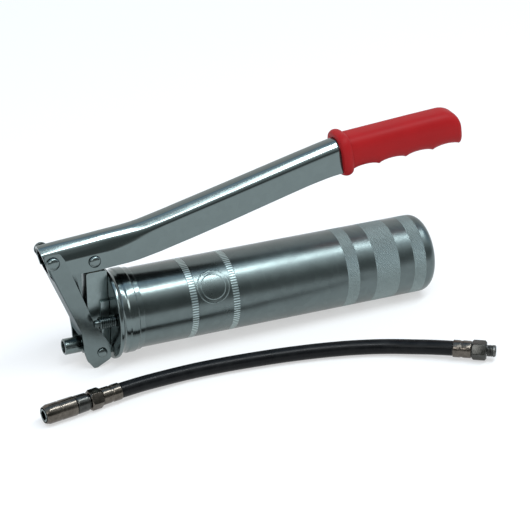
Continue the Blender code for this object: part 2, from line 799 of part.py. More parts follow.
def grip_point(s, w, h):
    """A point of the grip: s along its axis from the front face, w across, h up."""
    dx = math.cos(GRIP_ANGLE)
    dz = math.sin(GRIP_ANGLE)
    lean = 0.06 * h
    along_axis = s - lean
    x = GRIP_START[0] + along_axis * dx - h * dz
    z = GRIP_START[1] + along_axis * dz + h * dx
    return (x, w, z)


def grip_profile(s):
    """Half width, height above and depth below the axis at one station."""
    half_w = GRIP_HALF_W
    up = GRIP_HALF_H + 0.6 * min(1.0, s / 60)
    down = GRIP_HALF_H
    if s < 7.5:
        swell = math.sin(math.pi * (s + 0.6) / 8.7) ** 0.5
        half_w += 2.6 * swell
        up += 2.8 * swell
        down += 2.6 * swell
    elif s < 93.0:
        t = (s - 7.5) / 21.35
        groove = abs(math.sin(math.pi * (t - math.floor(t)))) ** 0.55
        down -= 2.5 * groove
    rest = GRIP_LENGTH - s
    if rest < 12.0:
        up -= 9.0 * (1 - math.sqrt(max(0.0, 1 - ((12.0 - rest) / 12.0) ** 2)))
    if rest < 4.0:
        bend = 1 - math.sqrt(max(0.0, 1 - ((4.0 - rest) / 4.0) ** 2))
        down -= 3.0 * bend
        half_w -= 3.2 * bend
    return half_w, up, down


GRIP_STATIONS = [
    0.0, 0.8, 2.4, 4.2, 6.2, 7.4, 9.0, 13.5, 20.5, 26.8, 28.85, 30.5, 35.5, 43.5,
    48.4, 50.2, 51.8, 57.0, 65.0, 69.8, 71.6, 73.2, 78.5, 84.0, 88.0, 90.8, 92.6,
    94.0, 94.8,
]


def make_grip():
    rings = []
    for s in GRIP_STATIONS:
        half_w, up, down = grip_profile(s)
        ring = []
        for i in range(16):
            angle = 2 * math.pi * i / 16
            c = math.cos(angle)
            n = math.sin(angle)
            w = half_w * math.copysign(abs(c) ** 0.62, c)
            reach = up if n >= 0 else down
            ring.append(grip_point(s, w, reach * math.copysign(abs(n) ** 0.72, n)))
        rings.append(ring)
    body = bake(loft(rings))
    tail = [s for s in LEVER_STATIONS if s[0] > 100.0]
    first = list(tail[0])
    sections = [lever_section(s, GAP) for s in [tuple(first)] + tail[1:]]
    shift = Vector((0.5, 0, 0.04))
    sections.append([p + shift for p in sections[-1]])
    pocket = bake(loft(sections))
    body = boolean(body, pocket)
    return finish(body, "grip", "red_grip", (GRIP_START[0], 0, GRIP_START[1]))


# --- Hose -----------------------------------------------------------------------------------------


def route_point(t):
    """A point of the hose's centre line; t runs from 0 to 1 over the chosen points."""
    count = len(HOSE_ROUTE) - 1
    position = min(t * count, count - 1e-6)
    i = int(position)
    u = position - i
    points = [HOSE_ROUTE[max(0, min(count, k))] for k in (i - 1, i, i + 1, i + 2)]
    if i == 0:
        points[0] = (
            HOSE_ROUTE[0][0] + 20 * math.cos(COUPLER_YAW),
            HOSE_ROUTE[0][1] + 20 * math.sin(COUPLER_YAW),
        )
    if i == count - 1:
        points[3] = (
            HOSE_ROUTE[-1][0] + 18 * math.cos(STUB_YAW),
            HOSE_ROUTE[-1][1] + 18 * math.sin(STUB_YAW),
        )
    out = []
    for axis in (0, 1):
        a, b, c, d = (p[axis] for p in points)
        value = 2 * b + (c - a) * u + (2 * a - 5 * b + 4 * c - d) * u * u
        value += (3 * b - a - 3 * c + d) * u * u * u
        out.append(value / 2)
    return out


def route_height(t):
    """The hose sinks from the fittings' axis to the ground over its first and last fifth."""
    near = min(t, 1 - t) / 0.22
    blend = max(0.0, min(1.0, near))
    blend = blend * blend * (3 - 2 * blend)
    return FITTING_AXIS_Z + (HOSE_MID_Z - FITTING_AXIS_Z) * blend


def make_hose():
    curve = bpy.data.curves.new("hose", "CURVE")
    curve.dimensions = "3D"
    curve.bevel_depth = HOSE_R * MM
    curve.bevel_resolution = 4
    curve.use_fill_caps = True
    spline = curve.splines.new("POLY")
    count = 21
    spline.points.add(count - 1)
    for i, point in enumerate(spline.points):
        t = i / (count - 1)
        x, y = route_point(t)
        point.co = (x * MM, y * MM, route_height(t) * MM, 1.0)
    hose = bake(adopt(curve))
    x, y = HOSE_ROUTE[0]
    return finish(hose, "hose_tube", "hose_rubber", (x, y, FITTING_AXIS_Z), GROUND)


def fitting(name, mat, outer, bore, yaw, start, steps=32):
    axis = (math.cos(yaw), math.sin(yaw), 0)
    origin = (start[0], start[1], FITTING_AXIS_Z)
    obj = turned(outer, axis, origin, steps, bore)
    place = tuple(Vector(origin) + Vector(axis) * outer[0][0])
    return finish(obj, name, mat, place, GROUND)


def fitting_nut(name, flats, low, high, hole_r, chamfer, yaw, start):
    axis = (math.cos(yaw), math.sin(yaw), 0)
    origin = (start[0], start[1], FITTING_AXIS_Z)
    level = axis_matrix(axis, (0, 0, 0)).to_3x3().inverted() @ Vector((0, 0, 1))
    nut = hexagon(flats, low, high, axis, origin, hole_r, chamfer, math.atan2(level.y, level.x))
    place = tuple(Vector(origin) + Vector(axis) * low)
    return finish(nut, name, "nickel_fitting", place, GROUND)


def ferrule_stations(low, high, radius):
    """A crimped ferrule with two shallow pressed bands."""
    length = high - low
    out = [(low, radius - 0.7), (low + 0.7, radius)]
    for part in (0.45,):
        centre = low + part * length
        out += [
            (centre - 1.5, radius),
            (centre - 1.0, radius - 0.35),
            (centre + 1.0, radius - 0.35),
            (centre + 1.5, radius),
        ]
    out += [(high - 0.8, radius), (high, radius - 0.8)]
    return out


def make_coupler_end():
    yaw = COUPLER_YAW
    start = HOSE_ROUTE[0]
    fitting(
        "ferrule_front",
        "nickel_fitting",
        ferrule_stations(GAP, 14.6, 5.9),
        [(GAP, 2.0), (14.6, 2.0)],
        yaw,
        start,
        24,
    )
    fitting_nut("hose_nut_front", 12.6, 14.9, 23.6, 2.3, 1.4, yaw, start)
    fitting(
        "coupler_body",
        "nickel_fitting",
        [
            (23.9, 5.0),
            (24.9, 5.0),
            (25.6, 6.2),
            (33.0, 6.4),
            (33.8, 5.9),
            (33.8, 4.8),
            (42.0, 4.8),
        ],
        [(23.9, 1.8), (42.0, 1.8)],
        yaw,
        start,
        24,
    )
    fitting(
        "coupler_sleeve",
        "nickel_fitting",
        [
            (34.2, 6.2),
            (34.8, 6.7),
            (54.0, 6.7),
            (56.0, 6.3),
            (57.0, 5.6),
        ],
        [(34.2, 5.2), (57.0, 5.2)],
        yaw,
        start,
        28,
    )
    fitting(
        "coupler_seal",
        "seal_rubber",
        [(42.3, 4.6), (44.7, 4.6)],
        [(42.3, 1.6), (44.7, 1.6)],
        yaw,
        start,
        24,
    )
    make_jaws(yaw, start)


def make_jaws(yaw, start):
    """Four separate quarter-ring jaws that grip a grease nipple."""
    axis = Vector((math.cos(yaw), math.sin(yaw), 0))
    across = Vector((-axis.y, axis.x, 0))
    origin = Vector((start[0], start[1], FITTING_AXIS_Z))
    frame = Matrix.Translation(origin * MM) @ Matrix(
        ((axis.x, across.x, 0), (axis.y, across.y, 0), (0, 0, 1))
    ).to_4x4()
    for index in range(4):
        first = math.pi / 2 * index + 0.09
        last = math.pi / 2 * (index + 1) - 0.09
        rings = []
        for s, inner, outer in ((45.1, 3.9, 4.8), (53.4, 3.5, 4.8), (57.3, 3.3, 4.5)):
            arc = [first + (last - first) * k / 5 for k in range(6)]
            ring = [(s, outer * math.cos(a), outer * math.sin(a)) for a in arc]
            ring += [(s, inner * math.cos(a), inner * math.sin(a)) for a in reversed(arc)]
            rings.append(ring)
        jaw = loft(rings)
        jaw.matrix_world = frame
        jaw = bake(jaw)
        place = tuple(origin + axis * 45.1)
        finish(jaw, f"coupler_jaw_{index + 1}", "steel_pin", place, GROUND)


def make_stub_end():
    yaw = STUB_YAW
    start = HOSE_ROUTE[-1]
    fitting(
        "ferrule_rear",
        "nickel_fitting",
        ferrule_stations(GAP, 13.1, 6.1),
        [(GAP, 2.0), (13.1, 2.0)],
        yaw,
        start,
        24,
    )
    fitting_nut("hose_nut_rear", 12.2, 13.4, 23.6, 2.3, 1.6, yaw, start)
    stations = [(23.9, 4.2)]
    s = 24.5
    while s < 28.0:
        stations += [(s, 3.8), (s + 0.6, 4.2), (s + 1.1, 4.2)]
        s += 1.8
    stations += [(29.1, 4.2), (30.0, 3.4)]
    fitting("thread_stub", "nickel_fitting", stations, [(23.9, 1.8), (30.0, 1.8)], yaw, start, 20)


# --- Build ----------------------------------------------------------------------------------------

make_barrel()
make_head_cap()
make_gasket()
make_block()
make_spigot_nut()
make_gland()
make_nozzle()
make_valve()
make_bleeder()
make_bush()
make_follower()
make_link()
make_rivet("upper_pin", PIN_A, UPPER_PIN_R, 4.7, 2.7, LINK_INNER_Y + LINK_T + GAP)
make_rivet("lower_pin", PIN_B, LOWER_PIN_R, 3.5, 1.7, LINK_INNER_Y + LINK_T + GAP)
make_rivet("drive_pin", PIN_C, DRIVE_PIN_R, 4.3, 2.5, LEVER_HEAD_HALF + GAP)
make_plunger()
make_lever()
make_grip()
make_hose()
make_coupler_end()
make_stub_end()
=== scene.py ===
"""Looks for the lever grease gun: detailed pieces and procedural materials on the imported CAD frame.

The gun's pieces are drawn in the gun's own frame, in millimetres: +X along the barrel, +Z up, the
barrel's axis at Y = Z = 0. STANCE sets that frame in the row frame, as in the CAD source.
"""

import math

import bmesh
import bpy
from mathutils import Matrix, Vector


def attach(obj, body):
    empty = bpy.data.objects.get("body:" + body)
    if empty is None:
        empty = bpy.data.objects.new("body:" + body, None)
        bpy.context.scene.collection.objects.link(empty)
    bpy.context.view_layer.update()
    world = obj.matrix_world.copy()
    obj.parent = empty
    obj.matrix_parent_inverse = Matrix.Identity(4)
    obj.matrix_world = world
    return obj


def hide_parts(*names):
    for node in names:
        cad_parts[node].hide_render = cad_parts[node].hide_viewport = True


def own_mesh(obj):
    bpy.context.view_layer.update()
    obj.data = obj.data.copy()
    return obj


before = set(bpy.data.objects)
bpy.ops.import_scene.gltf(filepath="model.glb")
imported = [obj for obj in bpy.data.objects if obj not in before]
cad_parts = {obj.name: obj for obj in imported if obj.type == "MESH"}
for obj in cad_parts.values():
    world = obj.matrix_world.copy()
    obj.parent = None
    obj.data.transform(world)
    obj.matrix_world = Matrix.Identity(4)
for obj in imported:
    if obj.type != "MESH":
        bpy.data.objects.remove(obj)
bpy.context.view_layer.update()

MM = 0.001

# Stance, as in the CAD source
EAR_X = -65.8
EAR_Z = -33.9
REAR_CONTACT_X = 183.5
CENTRE_SHIFT_X = 126.39
BARREL_R = 28.25
TILT = math.atan((-EAR_Z - BARREL_R) / (REAR_CONTACT_X - EAR_X))
STANCE = (
    Matrix.Translation((-CENTRE_SHIFT_X * MM, 0, 0))
    @ Matrix.Rotation(TILT, 4, "Y")
    @ Matrix.Translation((-EAR_X * MM, 0, -EAR_Z * MM))
)
GROUND = Matrix.Translation((-CENTRE_SHIFT_X * MM, 0, 0))

PIN_A = (-94.0, 51.2)
PIN_B = (-61.6, -22.8)
PIN_C = (-63.8, 46.2)
BORE_X = -62.7
UPPER_EYE_R = 3.3
LOWER_EYE_R = 2.8
DRIVE_EYE_R = 2.8
OUTLET_Z = -20.0
VENT_Y = -18.5
VENT_Z = 3.0

# Knurled bands and tick rings on the barrel, as (start, end) along X
KNURL_BANDS = [(119.0, 128.2), (141.6, 160.2), (171.8, 181.2)]
TICK_RINGS = [(0.0, 4.5), (30.9, 35.4)]
KNURL_COUNT = 118
TICK_COUNT = 94
MARK_X = 17.7
MARK_TURN = math.radians(36)
MARK_OUTER = (11.4, 11.9)
MARK_INNER = (8.8, 9.2)


# --- Camera and light -----------------------------------------------------------------------------


CAMERA_LENS = 143.1
CAMERA_RIGHT = (0.91568, -0.40137, -0.02075)
CAMERA_BACK = (-0.35024, -0.82223, 0.44864)
CAMERA_PLACE = (-0.38983 - CENTRE_SHIFT_X * MM, -1.2282, 0.7142)


def make_camera():
    data = bpy.data.cameras.new("camera")
    data.sensor_width = 36.0
    data.lens = CAMERA_LENS
    data.clip_start = 0.05
    data.clip_end = 30.0
    cam = bpy.data.objects.new("camera", data)
    bpy.context.scene.collection.objects.link(cam)
    right = Vector(CAMERA_RIGHT).normalized()
    back = Vector(CAMERA_BACK).normalized()
    up = back.cross(right).normalized()
    right = up.cross(back)
    turn = Matrix((right, up, back)).transposed()
    cam.matrix_world = Matrix.Translation(CAMERA_PLACE) @ turn.to_4x4()
    bpy.context.scene.camera = cam


def area_light(name, place, aim, size, power, color=(1, 1, 1)):
    data = bpy.data.lights.new(name, "AREA")
    data.shape = "RECTANGLE"
    data.size, data.size_y = size
    data.energy = power
    data.color = color
    lamp = bpy.data.objects.new(name, data)
    bpy.context.scene.collection.objects.link(lamp)
    lamp.location = place
    look = Vector(aim) - Vector(place)
    lamp.rotation_mode = "QUATERNION"
    lamp.rotation_quaternion = look.to_track_quat("-Z", "Y")
    return lamp


def make_world():
    """A soft room: pale behind the object, a bright ceiling, darker on the viewer's side."""
    world = bpy.data.worlds.new("room")
    world.use_nodes = True
    bpy.context.scene.world = world
    tree = world.node_tree
    nodes = tree.nodes
    background = nodes["Background"]
    coord = nodes.new("ShaderNodeTexCoord")
    split = nodes.new("ShaderNodeSeparateXYZ")
    tree.links.new(coord.outputs["Generated"], split.inputs[0])
    flip = nodes.new("ShaderNodeMath")
    flip.operation = "MULTIPLY"
    tree.links.new(split.outputs["Y"], flip.inputs[0])
    flip.inputs[1].default_value = -1.0
    angle = nodes.new("ShaderNodeMath")
    angle.operation = "ARCTAN2"
    tree.links.new(split.outputs["Z"], angle.inputs[0])
    tree.links.new(flip.outputs[0], angle.inputs[1])
    scale = nodes.new("ShaderNodeMapRange")
    scale.inputs["From Min"].default_value = -math.pi
    scale.inputs["From Max"].default_value = math.pi
    tree.links.new(angle.outputs[0], scale.inputs["Value"])
    ramp = nodes.new("ShaderNodeValToRGB")
    tree.links.new(scale.outputs["Result"], ramp.inputs[0])
    stops = [
        (-180, (0.80, 0.82, 0.84)),
        (-2, (0.55, 0.56, 0.56)),
        (4, (0.17, 0.18, 0.18)),
        (30, (0.16, 0.18, 0.18)),
        (42, (0.42, 0.45, 0.46)),
        (52, (0.95, 1.00, 1.02)),
        (80, (0.75, 0.95, 1.12)),
        (98, (0.55, 0.78, 1.05)),
        (106, (0.24, 0.37, 0.54)),
        (116, (0.30, 0.40, 0.50)),
        (124, (0.86, 0.86, 0.87)),
        (180, (0.92, 0.92, 0.92)),
    ]
    elements = ramp.color_ramp.elements
    while len(elements) < len(stops):
        elements.new(0.5)
    for element, (degrees, color) in zip(elements, stops):
        element.position = (degrees + 180) / 360
    for element, (degrees, color) in zip(elements, stops):
        element.color = (*color, 1.0)
    seen = nodes.new("ShaderNodeLightPath")
    choose = nodes.new("ShaderNodeMix")
    choose.data_type = "RGBA"
    tree.links.new(seen.outputs["Is Camera Ray"], choose.inputs[0])
    tree.links.new(ramp.outputs[0], choose.inputs[6])
    choose.inputs[7].default_value = (0.93, 0.93, 0.93, 1.0)
    tree.links.new(choose.outputs[2], background.inputs[0])
    background.inputs[1].default_value = 1.0


def make_stage():
    """A pale paper floor that glows a little, so that shadows on it stay light, with a painted pool of
    light: its colour is paler near the middle.
    """
    bm = bmesh.new()
    bmesh.ops.create_circle(bm, cap_ends=True, segments=96, radius=3.2)
    mesh = bpy.data.meshes.new("floor")
    bm.to_mesh(mesh)
    bm.free()
    floor = bpy.data.objects.new("floor", mesh)
    bpy.context.scene.collection.objects.link(floor)
    floor.location = (0, 0, -0.0004)
    mat = bpy.data.materials.new("floor_paper")
    mat.use_nodes = True
    tree = mat.node_tree
    shader = tree.nodes["Principled BSDF"]
    coord = tree.nodes.new("ShaderNodeTexCoord")
    length = tree.nodes.new("ShaderNodeVectorMath")
    length.operation = "LENGTH"
    tree.links.new(coord.outputs["Object"], length.inputs[0])
    # Painted pool of light: the paper is paler within 0.75 m of the middle and darker out past 1.9 m.
    painted_light_pool = tree.nodes.new("ShaderNodeMapRange")
    painted_light_pool.interpolation_type = "SMOOTHSTEP"
    painted_light_pool.inputs["From Min"].default_value = 0.75
    painted_light_pool.inputs["From Max"].default_value = 1.9
    painted_light_pool.inputs["To Min"].default_value = 0.46
    painted_light_pool.inputs["To Max"].default_value = 0.40
    tree.links.new(length.outputs["Value"], painted_light_pool.inputs["Value"])
    tree.links.new(painted_light_pool.outputs["Result"], shader.inputs["Base Color"])
    shader.inputs["Roughness"].default_value = 0.9
    shader.inputs["Emission Color"].default_value = (1.0, 1.0, 1.0, 1.0)
    shader.inputs["Emission Strength"].default_value = 0.52
    shader.inputs["Specular IOR Level"].default_value = 0.1
    mesh.materials.append(mat)


# --- Mesh tools -----------------------------------------------------------------------------------


def new_object(name, mesh, placed=STANCE):
    obj = bpy.data.objects.new(name, mesh)
    bpy.context.scene.collection.objects.link(obj)
    obj.matrix_world = placed
    return obj


def close_mesh(name, verts, faces, angle=35):
    """A mesh in metres from millimetre points, with its normals outward and its corners kept sharp."""
    mesh = bpy.data.meshes.new(name)
    mesh.from_pydata([tuple(c * MM for c in v) for v in verts], [], faces)
    tidy_mesh(mesh, angle)
    return mesh


def tidy_mesh(mesh, angle=35):
    """Weld a mesh, turn its faces outward and shade it smooth between its corners."""
    bm = bmesh.new()
    bm.from_mesh(mesh)
    bmesh.ops.remove_doubles(bm, verts=bm.verts, dist=2e-6)
    bmesh.ops.dissolve_degenerate(bm, edges=bm.edges, dist=1e-7)
    bmesh.ops.recalc_face_normals(bm, faces=bm.faces)
    bm.to_mesh(mesh)
    bm.free()
    mesh.shade_smooth()
    mesh.set_sharp_from_angle(angle=math.radians(angle))


def fillet(points, radii, count=4):
    """Replace each corner of an outline by an arc of its own radius."""
    out = []
    total = len(points)
    for i, (point, radius) in enumerate(zip(points, radii)):
        if radius <= 0:
            out.append(tuple(point))
            continue
        here = Vector(point)
        back = (Vector(points[i - 1]) - here).normalized()
        ahead = (Vector(points[(i + 1) % total]) - here).normalized()
        half = back.angle(ahead) / 2
        reach = radius / math.tan(half)
        centre = here + (back + ahead).normalized() * (radius / math.sin(half))
        first = here + back * reach - centre
        last = here + ahead * reach - centre
        sweep = first.angle_signed(last)
        for k in range(count + 1):
            arm = first.copy()
            arm.rotate(Matrix.Rotation(-sweep * k / count, 2))
            out.append(tuple(centre + arm))
    return out


def revolve(name, outline, axis=(1, 0, 0), origin=(0, 0, 0), steps=96, placed=STANCE, angle=35):
    """Turn a closed outline of (station along the axis, radius) points about an axis."""
    axis = Vector(axis).normalized()
    side = axis.orthogonal().normalized()
    other = axis.cross(side)
    origin = Vector(origin)
    verts = []
    for station, radius in outline:
        for k in range(steps):
            turn = 2 * math.pi * k / steps
            arm = side * math.cos(turn) + other * math.sin(turn)
            verts.append(origin + axis * station + arm * radius)
    faces = []
    count = len(outline)
    for i in range(count):
        j = (i + 1) % count
        for k in range(steps):
            n = (k + 1) % steps
            faces.append((i * steps + k, i * steps + n, j * steps + n, j * steps + k))
    return new_object(name, close_mesh(name, verts, faces, angle), placed)


def solid_outline(stations):
    """Close a run of (station, radius) points down to the axis."""
    return [(stations[0][0], 0.0)] + list(stations) + [(stations[-1][0], 0.0)]


def loft(name, rings, cap=True, cyclic=True, placed=STANCE, angle=35):
    count = len(rings[0])
    verts = [tuple(p) for ring in rings for p in ring]
    faces = []
    span = count if cyclic else count - 1
    for i in range(len(rings) - 1):
        for j in range(span):
            k = (j + 1) % count
            faces.append((i * count + j, i * count + k, (i + 1) * count + k, (i + 1) * count + j))
    if cap:
        faces.append(tuple(range(count)))
        faces.append(tuple(range((len(rings) - 1) * count, len(rings) * count)))
    return new_object(name, close_mesh(name, verts, faces, angle), placed)


def bake(obj, angle=35):
    """Apply every modifier of an object to its mesh."""
    bpy.context.view_layer.update()
    graph = bpy.context.evaluated_depsgraph_get()
    mesh = bpy.data.meshes.new_from_object(obj.evaluated_get(graph))
    obj.modifiers.clear()
    obj.data = mesh
    tidy_mesh(mesh, angle)
    return obj


def combine(obj, others, operation="DIFFERENCE"):
    """Cut other objects from one, or add them to it, and remove them."""
    for other in others:
        mod = obj.modifiers.new("cut", "BOOLEAN")
        mod.operation = operation
        mod.solver = "EXACT"
        mod.object = other
        bake(obj)
        bpy.data.objects.remove(other)
    return obj


def soften(obj, width, segments=2, limit=30):
    """Round an object's corners, as a tumbled or pressed edge is."""
    mod = obj.modifiers.new("edge", "BEVEL")
    mod.width = width * MM
    mod.segments = segments
    mod.limit_method = "ANGLE"
    mod.angle_limit = math.radians(limit)
    mod.use_clamp_overlap = True
    return bake(obj, 40)


def plate(name, outline, low, high):
    """An outline in the XZ plane given thickness along Y."""
    count = len(outline)
    verts = [(x, low, z) for x, z in outline] + [(x, high, z) for x, z in outline]
    faces = [tuple(range(count)), tuple(range(count, 2 * count))]
    for i in range(count):
        j = (i + 1) % count
        faces.append((i, j, count + j, count + i))
    return new_object(name, close_mesh(name, verts, faces))


def block(name, low, high):
    outline = [(low[0], low[2]), (high[0], low[2]), (high[0], high[2]), (low[0], high[2])]
    return plate(name, outline, low[1], high[1])


def peg(name, radius, axis, start, length, steps=48, placed=STANCE):
    outline = solid_outline([(0, radius), (length, radius)])
    return revolve(name, outline, axis, start, steps, placed)


def add(obj, body, node, mat):
    """Give a new piece its material, its body and the CAD nodes it stands for."""
    obj.data.materials.clear()
    obj.data.materials.append(mat)
    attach(obj, body)
    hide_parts(*([node] if isinstance(node, str) else node))
    return obj


# --- Material tools -------------------------------------------------------------------------------


class Surface:
    """A small writer for one procedural material."""

    def __init__(self, name, color, metallic, roughness):
        self.mat = bpy.data.materials.new(name)
        self.mat.use_nodes = True
        self.tree = self.mat.node_tree
        self.shader = self.tree.nodes["Principled BSDF"]
        self.shader.inputs["Base Color"].default_value = (*color, 1.0)
        self.shader.inputs["Metallic"].default_value = metallic
        self.shader.inputs["Roughness"].default_value = roughness
        self.mat.diffuse_color = (*color, 1.0)
        self.point = self.node("ShaderNodeTexCoord").outputs["Object"]

    def node(self, kind, **props):
        made = self.tree.nodes.new(kind)
        for key, value in props.items():
            setattr(made, key, value)
        return made

    def put(self, socket, value):
        if isinstance(value, bpy.types.NodeSocket):
            self.tree.links.new(value, socket)
        else:
            socket.default_value = value

    def math(self, operation, *values):
        made = self.node("ShaderNodeMath", operation=operation)
        for socket, value in zip(made.inputs, values):
            self.put(socket, value)
        return made.outputs[0]

    def axes(self):
        split = self.node("ShaderNodeSeparateXYZ")
        self.put(split.inputs[0], self.point)
        return split.outputs[0], split.outputs[1], split.outputs[2]

    def stretched(self, x, y, z):
        made = self.node("ShaderNodeMapping")
        self.put(made.inputs["Vector"], self.point)
        made.inputs["Scale"].default_value = (x, y, z)
        return made.outputs[0]

    def noise(self, scale, detail=3.0, rough=0.55, vector=None):
        made = self.node("ShaderNodeTexNoise")
        self.put(made.inputs["Vector"], self.point if vector is None else vector)
        made.inputs["Scale"].default_value = scale
        made.inputs["Detail"].default_value = detail
        made.inputs["Roughness"].default_value = rough
        return made.outputs["Fac"]

    def cells(self, scale):
        made = self.node("ShaderNodeTexVoronoi")
        self.put(made.inputs["Vector"], self.point)
        made.inputs["Scale"].default_value = scale
        tone = self.node("ShaderNodeSeparateColor")
        self.put(tone.inputs[0], made.outputs["Color"])
        return tone.outputs[0]

    def remap(self, value, low, high, to_low, to_high, smooth=False):
        made = self.node("ShaderNodeMapRange")
        if smooth:
            made.interpolation_type = "SMOOTHSTEP"
        self.put(made.inputs["Value"], value)
        made.inputs["From Min"].default_value = low
        made.inputs["From Max"].default_value = high
        made.inputs["To Min"].default_value = to_low
        made.inputs["To Max"].default_value = to_high
        return made.outputs["Result"]

    def blend(self, factor, first, second):
        made = self.node("ShaderNodeMix", data_type="RGBA")
        self.put(made.inputs[0], factor)
        self.put(made.inputs[6], (*first, 1.0) if isinstance(first, tuple) else first)
        self.put(made.inputs[7], (*second, 1.0) if isinstance(second, tuple) else second)
        return made.outputs[2]

    def between(self, value, low, high, edge=0.0001):
        """1 where a value is between two limits, with a short slope at each."""
        rise = self.remap(value, low - edge, low + edge, 0, 1)
        fall = self.remap(value, high - edge, high + edge, 1, 0)
        return self.math("MULTIPLY", rise, fall)

    def total(self, values):
        result = values[0]
        for value in values[1:]:
            result = self.math("ADD", result, value)
        return result

    def color(self, value):
        self.put(self.shader.inputs["Base Color"], value)

    def rough(self, value):
        self.put(self.shader.inputs["Roughness"], value)

    def bump(self, height, depth):
        """depth is in millimetres for a height of 1."""
        made = self.node("ShaderNodeBump")
        made.inputs["Strength"].default_value = 1.0
        made.inputs["Distance"].default_value = depth * MM
        self.put(made.inputs["Height"], height)
        previous = self.shader.inputs["Normal"]
        if previous.is_linked:
            self.put(made.inputs["Normal"], previous.links[0].from_socket)
        self.put(previous, made.outputs[0])


def shade(color, gain):
    return tuple(c * gain for c in color)


def zinc(name, color, roughness, grain=0.012, spangle=0.10, scale=1.0):
    """Zinc-plated steel: faint crystal patches, fine grain and hairline scratches."""
    s = Surface(name, color, 1.0, roughness)
    patches = s.cells(230 * scale)
    clouds = s.noise(42 * scale, 4.0)
    tone = s.math("ADD", s.math("MULTIPLY", patches, 0.45), s.math("MULTIPLY", clouds, 0.55))
    s.color(s.blend(tone, shade(color, 1 - spangle), shade(color, 1 + spangle)))
    fine = s.noise(900 * scale, 4.0, 0.7)
    hair = s.noise(260 * scale, 5.0, 0.7, s.stretched(0.06, 1.0, 1.0))
    mixed = s.math("ADD", s.math("MULTIPLY", clouds, 0.6), s.math("MULTIPLY", hair, 0.4))
    s.rough(s.remap(mixed, 0.25, 0.75, roughness - 0.05, roughness + 0.07))
    s.bump(fine, grain)
    s.bump(hair, grain * 0.7)
    return s


ZINC = (0.146, 0.178, 0.176)


def make_materials():
    m = {}
    m["barrel"] = barrel_metal()
    m["head"] = zinc("zinc_head", shade(ZINC, 0.98), 0.17).mat
    m["lever"] = zinc("zinc_lever", shade(ZINC, 1.02), 0.12, 0.005, 0.06).mat
    link = zinc("zinc_link", shade(ZINC, 0.98), 0.20, 0.007, 0.07)
    link.shader.inputs["Specular Tint"].default_value = (0.40, 0.42, 0.43, 1.0)
    m["link"] = link.mat
    # Painted light: the pump block's zinc is 1.45 times brighter than the rest, to lift the shade that
    # falls on it between the cap, link and lever.
    m["block"] = zinc("cast_block", shade(ZINC, 1.45), 0.30, 0.02, 0.10, 1.6).mat
    m["screw"] = zinc("vent_steel", shade(ZINC, 0.55), 0.24, 0.01, 0.08, 2.5).mat
    m["pin"] = zinc("steel_pin", shade(ZINC, 1.05), 0.22, 0.01, 0.08, 2.5).mat
    m["rod"] = zinc("bright_rod", (0.50, 0.51, 0.52), 0.14, 0.003, 0.04).mat
    m["spring"] = zinc("spring_steel", (0.12, 0.125, 0.13), 0.30, 0.01, 0.10, 2.0).mat
    m["brass"] = zinc("brass_seat", (0.55, 0.40, 0.17), 0.28, 0.006, 0.08, 2.0).mat
    m["nickel"] = fitting_metal("nickel_fitting", (0.105, 0.092, 0.078), 0.20)
    m["nickel_dark"] = fitting_metal("nickel_dark", (0.060, 0.060, 0.056), 0.22)
    m["thread"] = fitting_metal("nickel_thread", (0.10, 0.10, 0.095), 0.33)
    m["hose"] = hose_rubber()
    m["seal"] = seal_rubber()
    m["grip"] = grip_plastic()
    return m


def barrel_metal():
    """Zinc plate with knurled bands, rings of ticks and a plain round mark; the bands and the mark carry a
    painted sheen, the ticks painted glints.
    """
    s = zinc("zinc_barrel", shade(ZINC, 0.86), 0.24, 0.010, 0.12)
    x, y, z = s.axes()
    turn = s.math("ARCTAN2", z, s.math("MULTIPLY", y, -1.0))
    along = s.math("MULTIPLY", x, KNURL_COUNT / (2 * BARREL_R * MM))
    round_ = s.math("MULTIPLY", turn, KNURL_COUNT / 2)
    one = s.math("ABSOLUTE", s.math("SINE", s.math("ADD", round_, along)))
    two = s.math("ABSOLUTE", s.math("SINE", s.math("SUBTRACT", round_, along)))
    diamonds = s.math("MINIMUM", one, two)
    bands = s.total([s.between(x, a * MM, b * MM) for a, b in KNURL_BANDS])
    ticks = s.math("SINE", s.math("MULTIPLY", turn, TICK_COUNT))
    ticks = s.remap(ticks, -0.2, 0.35, 0, 1, True)
    rings = s.total([s.between(x, a * MM, b * MM, 0.0003) for a, b in TICK_RINGS])
    mark = round_mark(s, x, turn)
    clouds = s.noise(60, 4.0)
    grainy = s.noise(1500, 2.0, 0.8)
    near = s.remap(x, -0.045, 0.075, 0.20, 0.33)
    wander = s.math("MULTIPLY", s.math("SUBTRACT", clouds, 0.5), 0.16)
    plain = s.math("ADD", near, wander)
    worked = s.math("MULTIPLY", s.total([bands, s.math("MULTIPLY", rings, 0.6)]), 0.20)
    s.rough(s.math("ADD", plain, worked))
    s.bump(grainy, 0.010)
    s.bump(s.math("MULTIPLY", diamonds, bands), 0.30)
    s.bump(s.math("MULTIPLY", ticks, rings), 0.22)
    s.bump(mark, 0.12)
    # Painted sheen: the knurled bands and the pressed mark get a brighter zinc colour, for the light their
    # rough surface catches.
    painted_sheen_mask = s.math("MULTIPLY", s.total([bands, mark]), 0.65)
    previous = s.shader.inputs["Base Color"].links[0].from_socket
    painted_sheen_color = s.blend(painted_sheen_mask, previous, shade(ZINC, 2.1))
    # Painted highlight: the ticks of the two rings are painted near white, as glints on their ridges.
    s.color(s.blend(s.math("MULTIPLY", ticks, rings), painted_sheen_color, shade(ZINC, 3.2)))
    return s.mat


def round_mark(s, x, turn):
    """A plain pressed mark between the tick rings: two thin circles."""
    across = s.math("SUBTRACT", x, MARK_X * MM)
    up = s.math("MULTIPLY", s.math("SUBTRACT", turn, MARK_TURN), BARREL_R * MM)
    square = s.math("ADD", s.math("MULTIPLY", across, across), s.math("MULTIPLY", up, up))
    radius = s.math("SQRT", square)
    return s.total([s.between(radius, a * MM, b * MM, 0.0002) for a, b in (MARK_OUTER, MARK_INNER)])


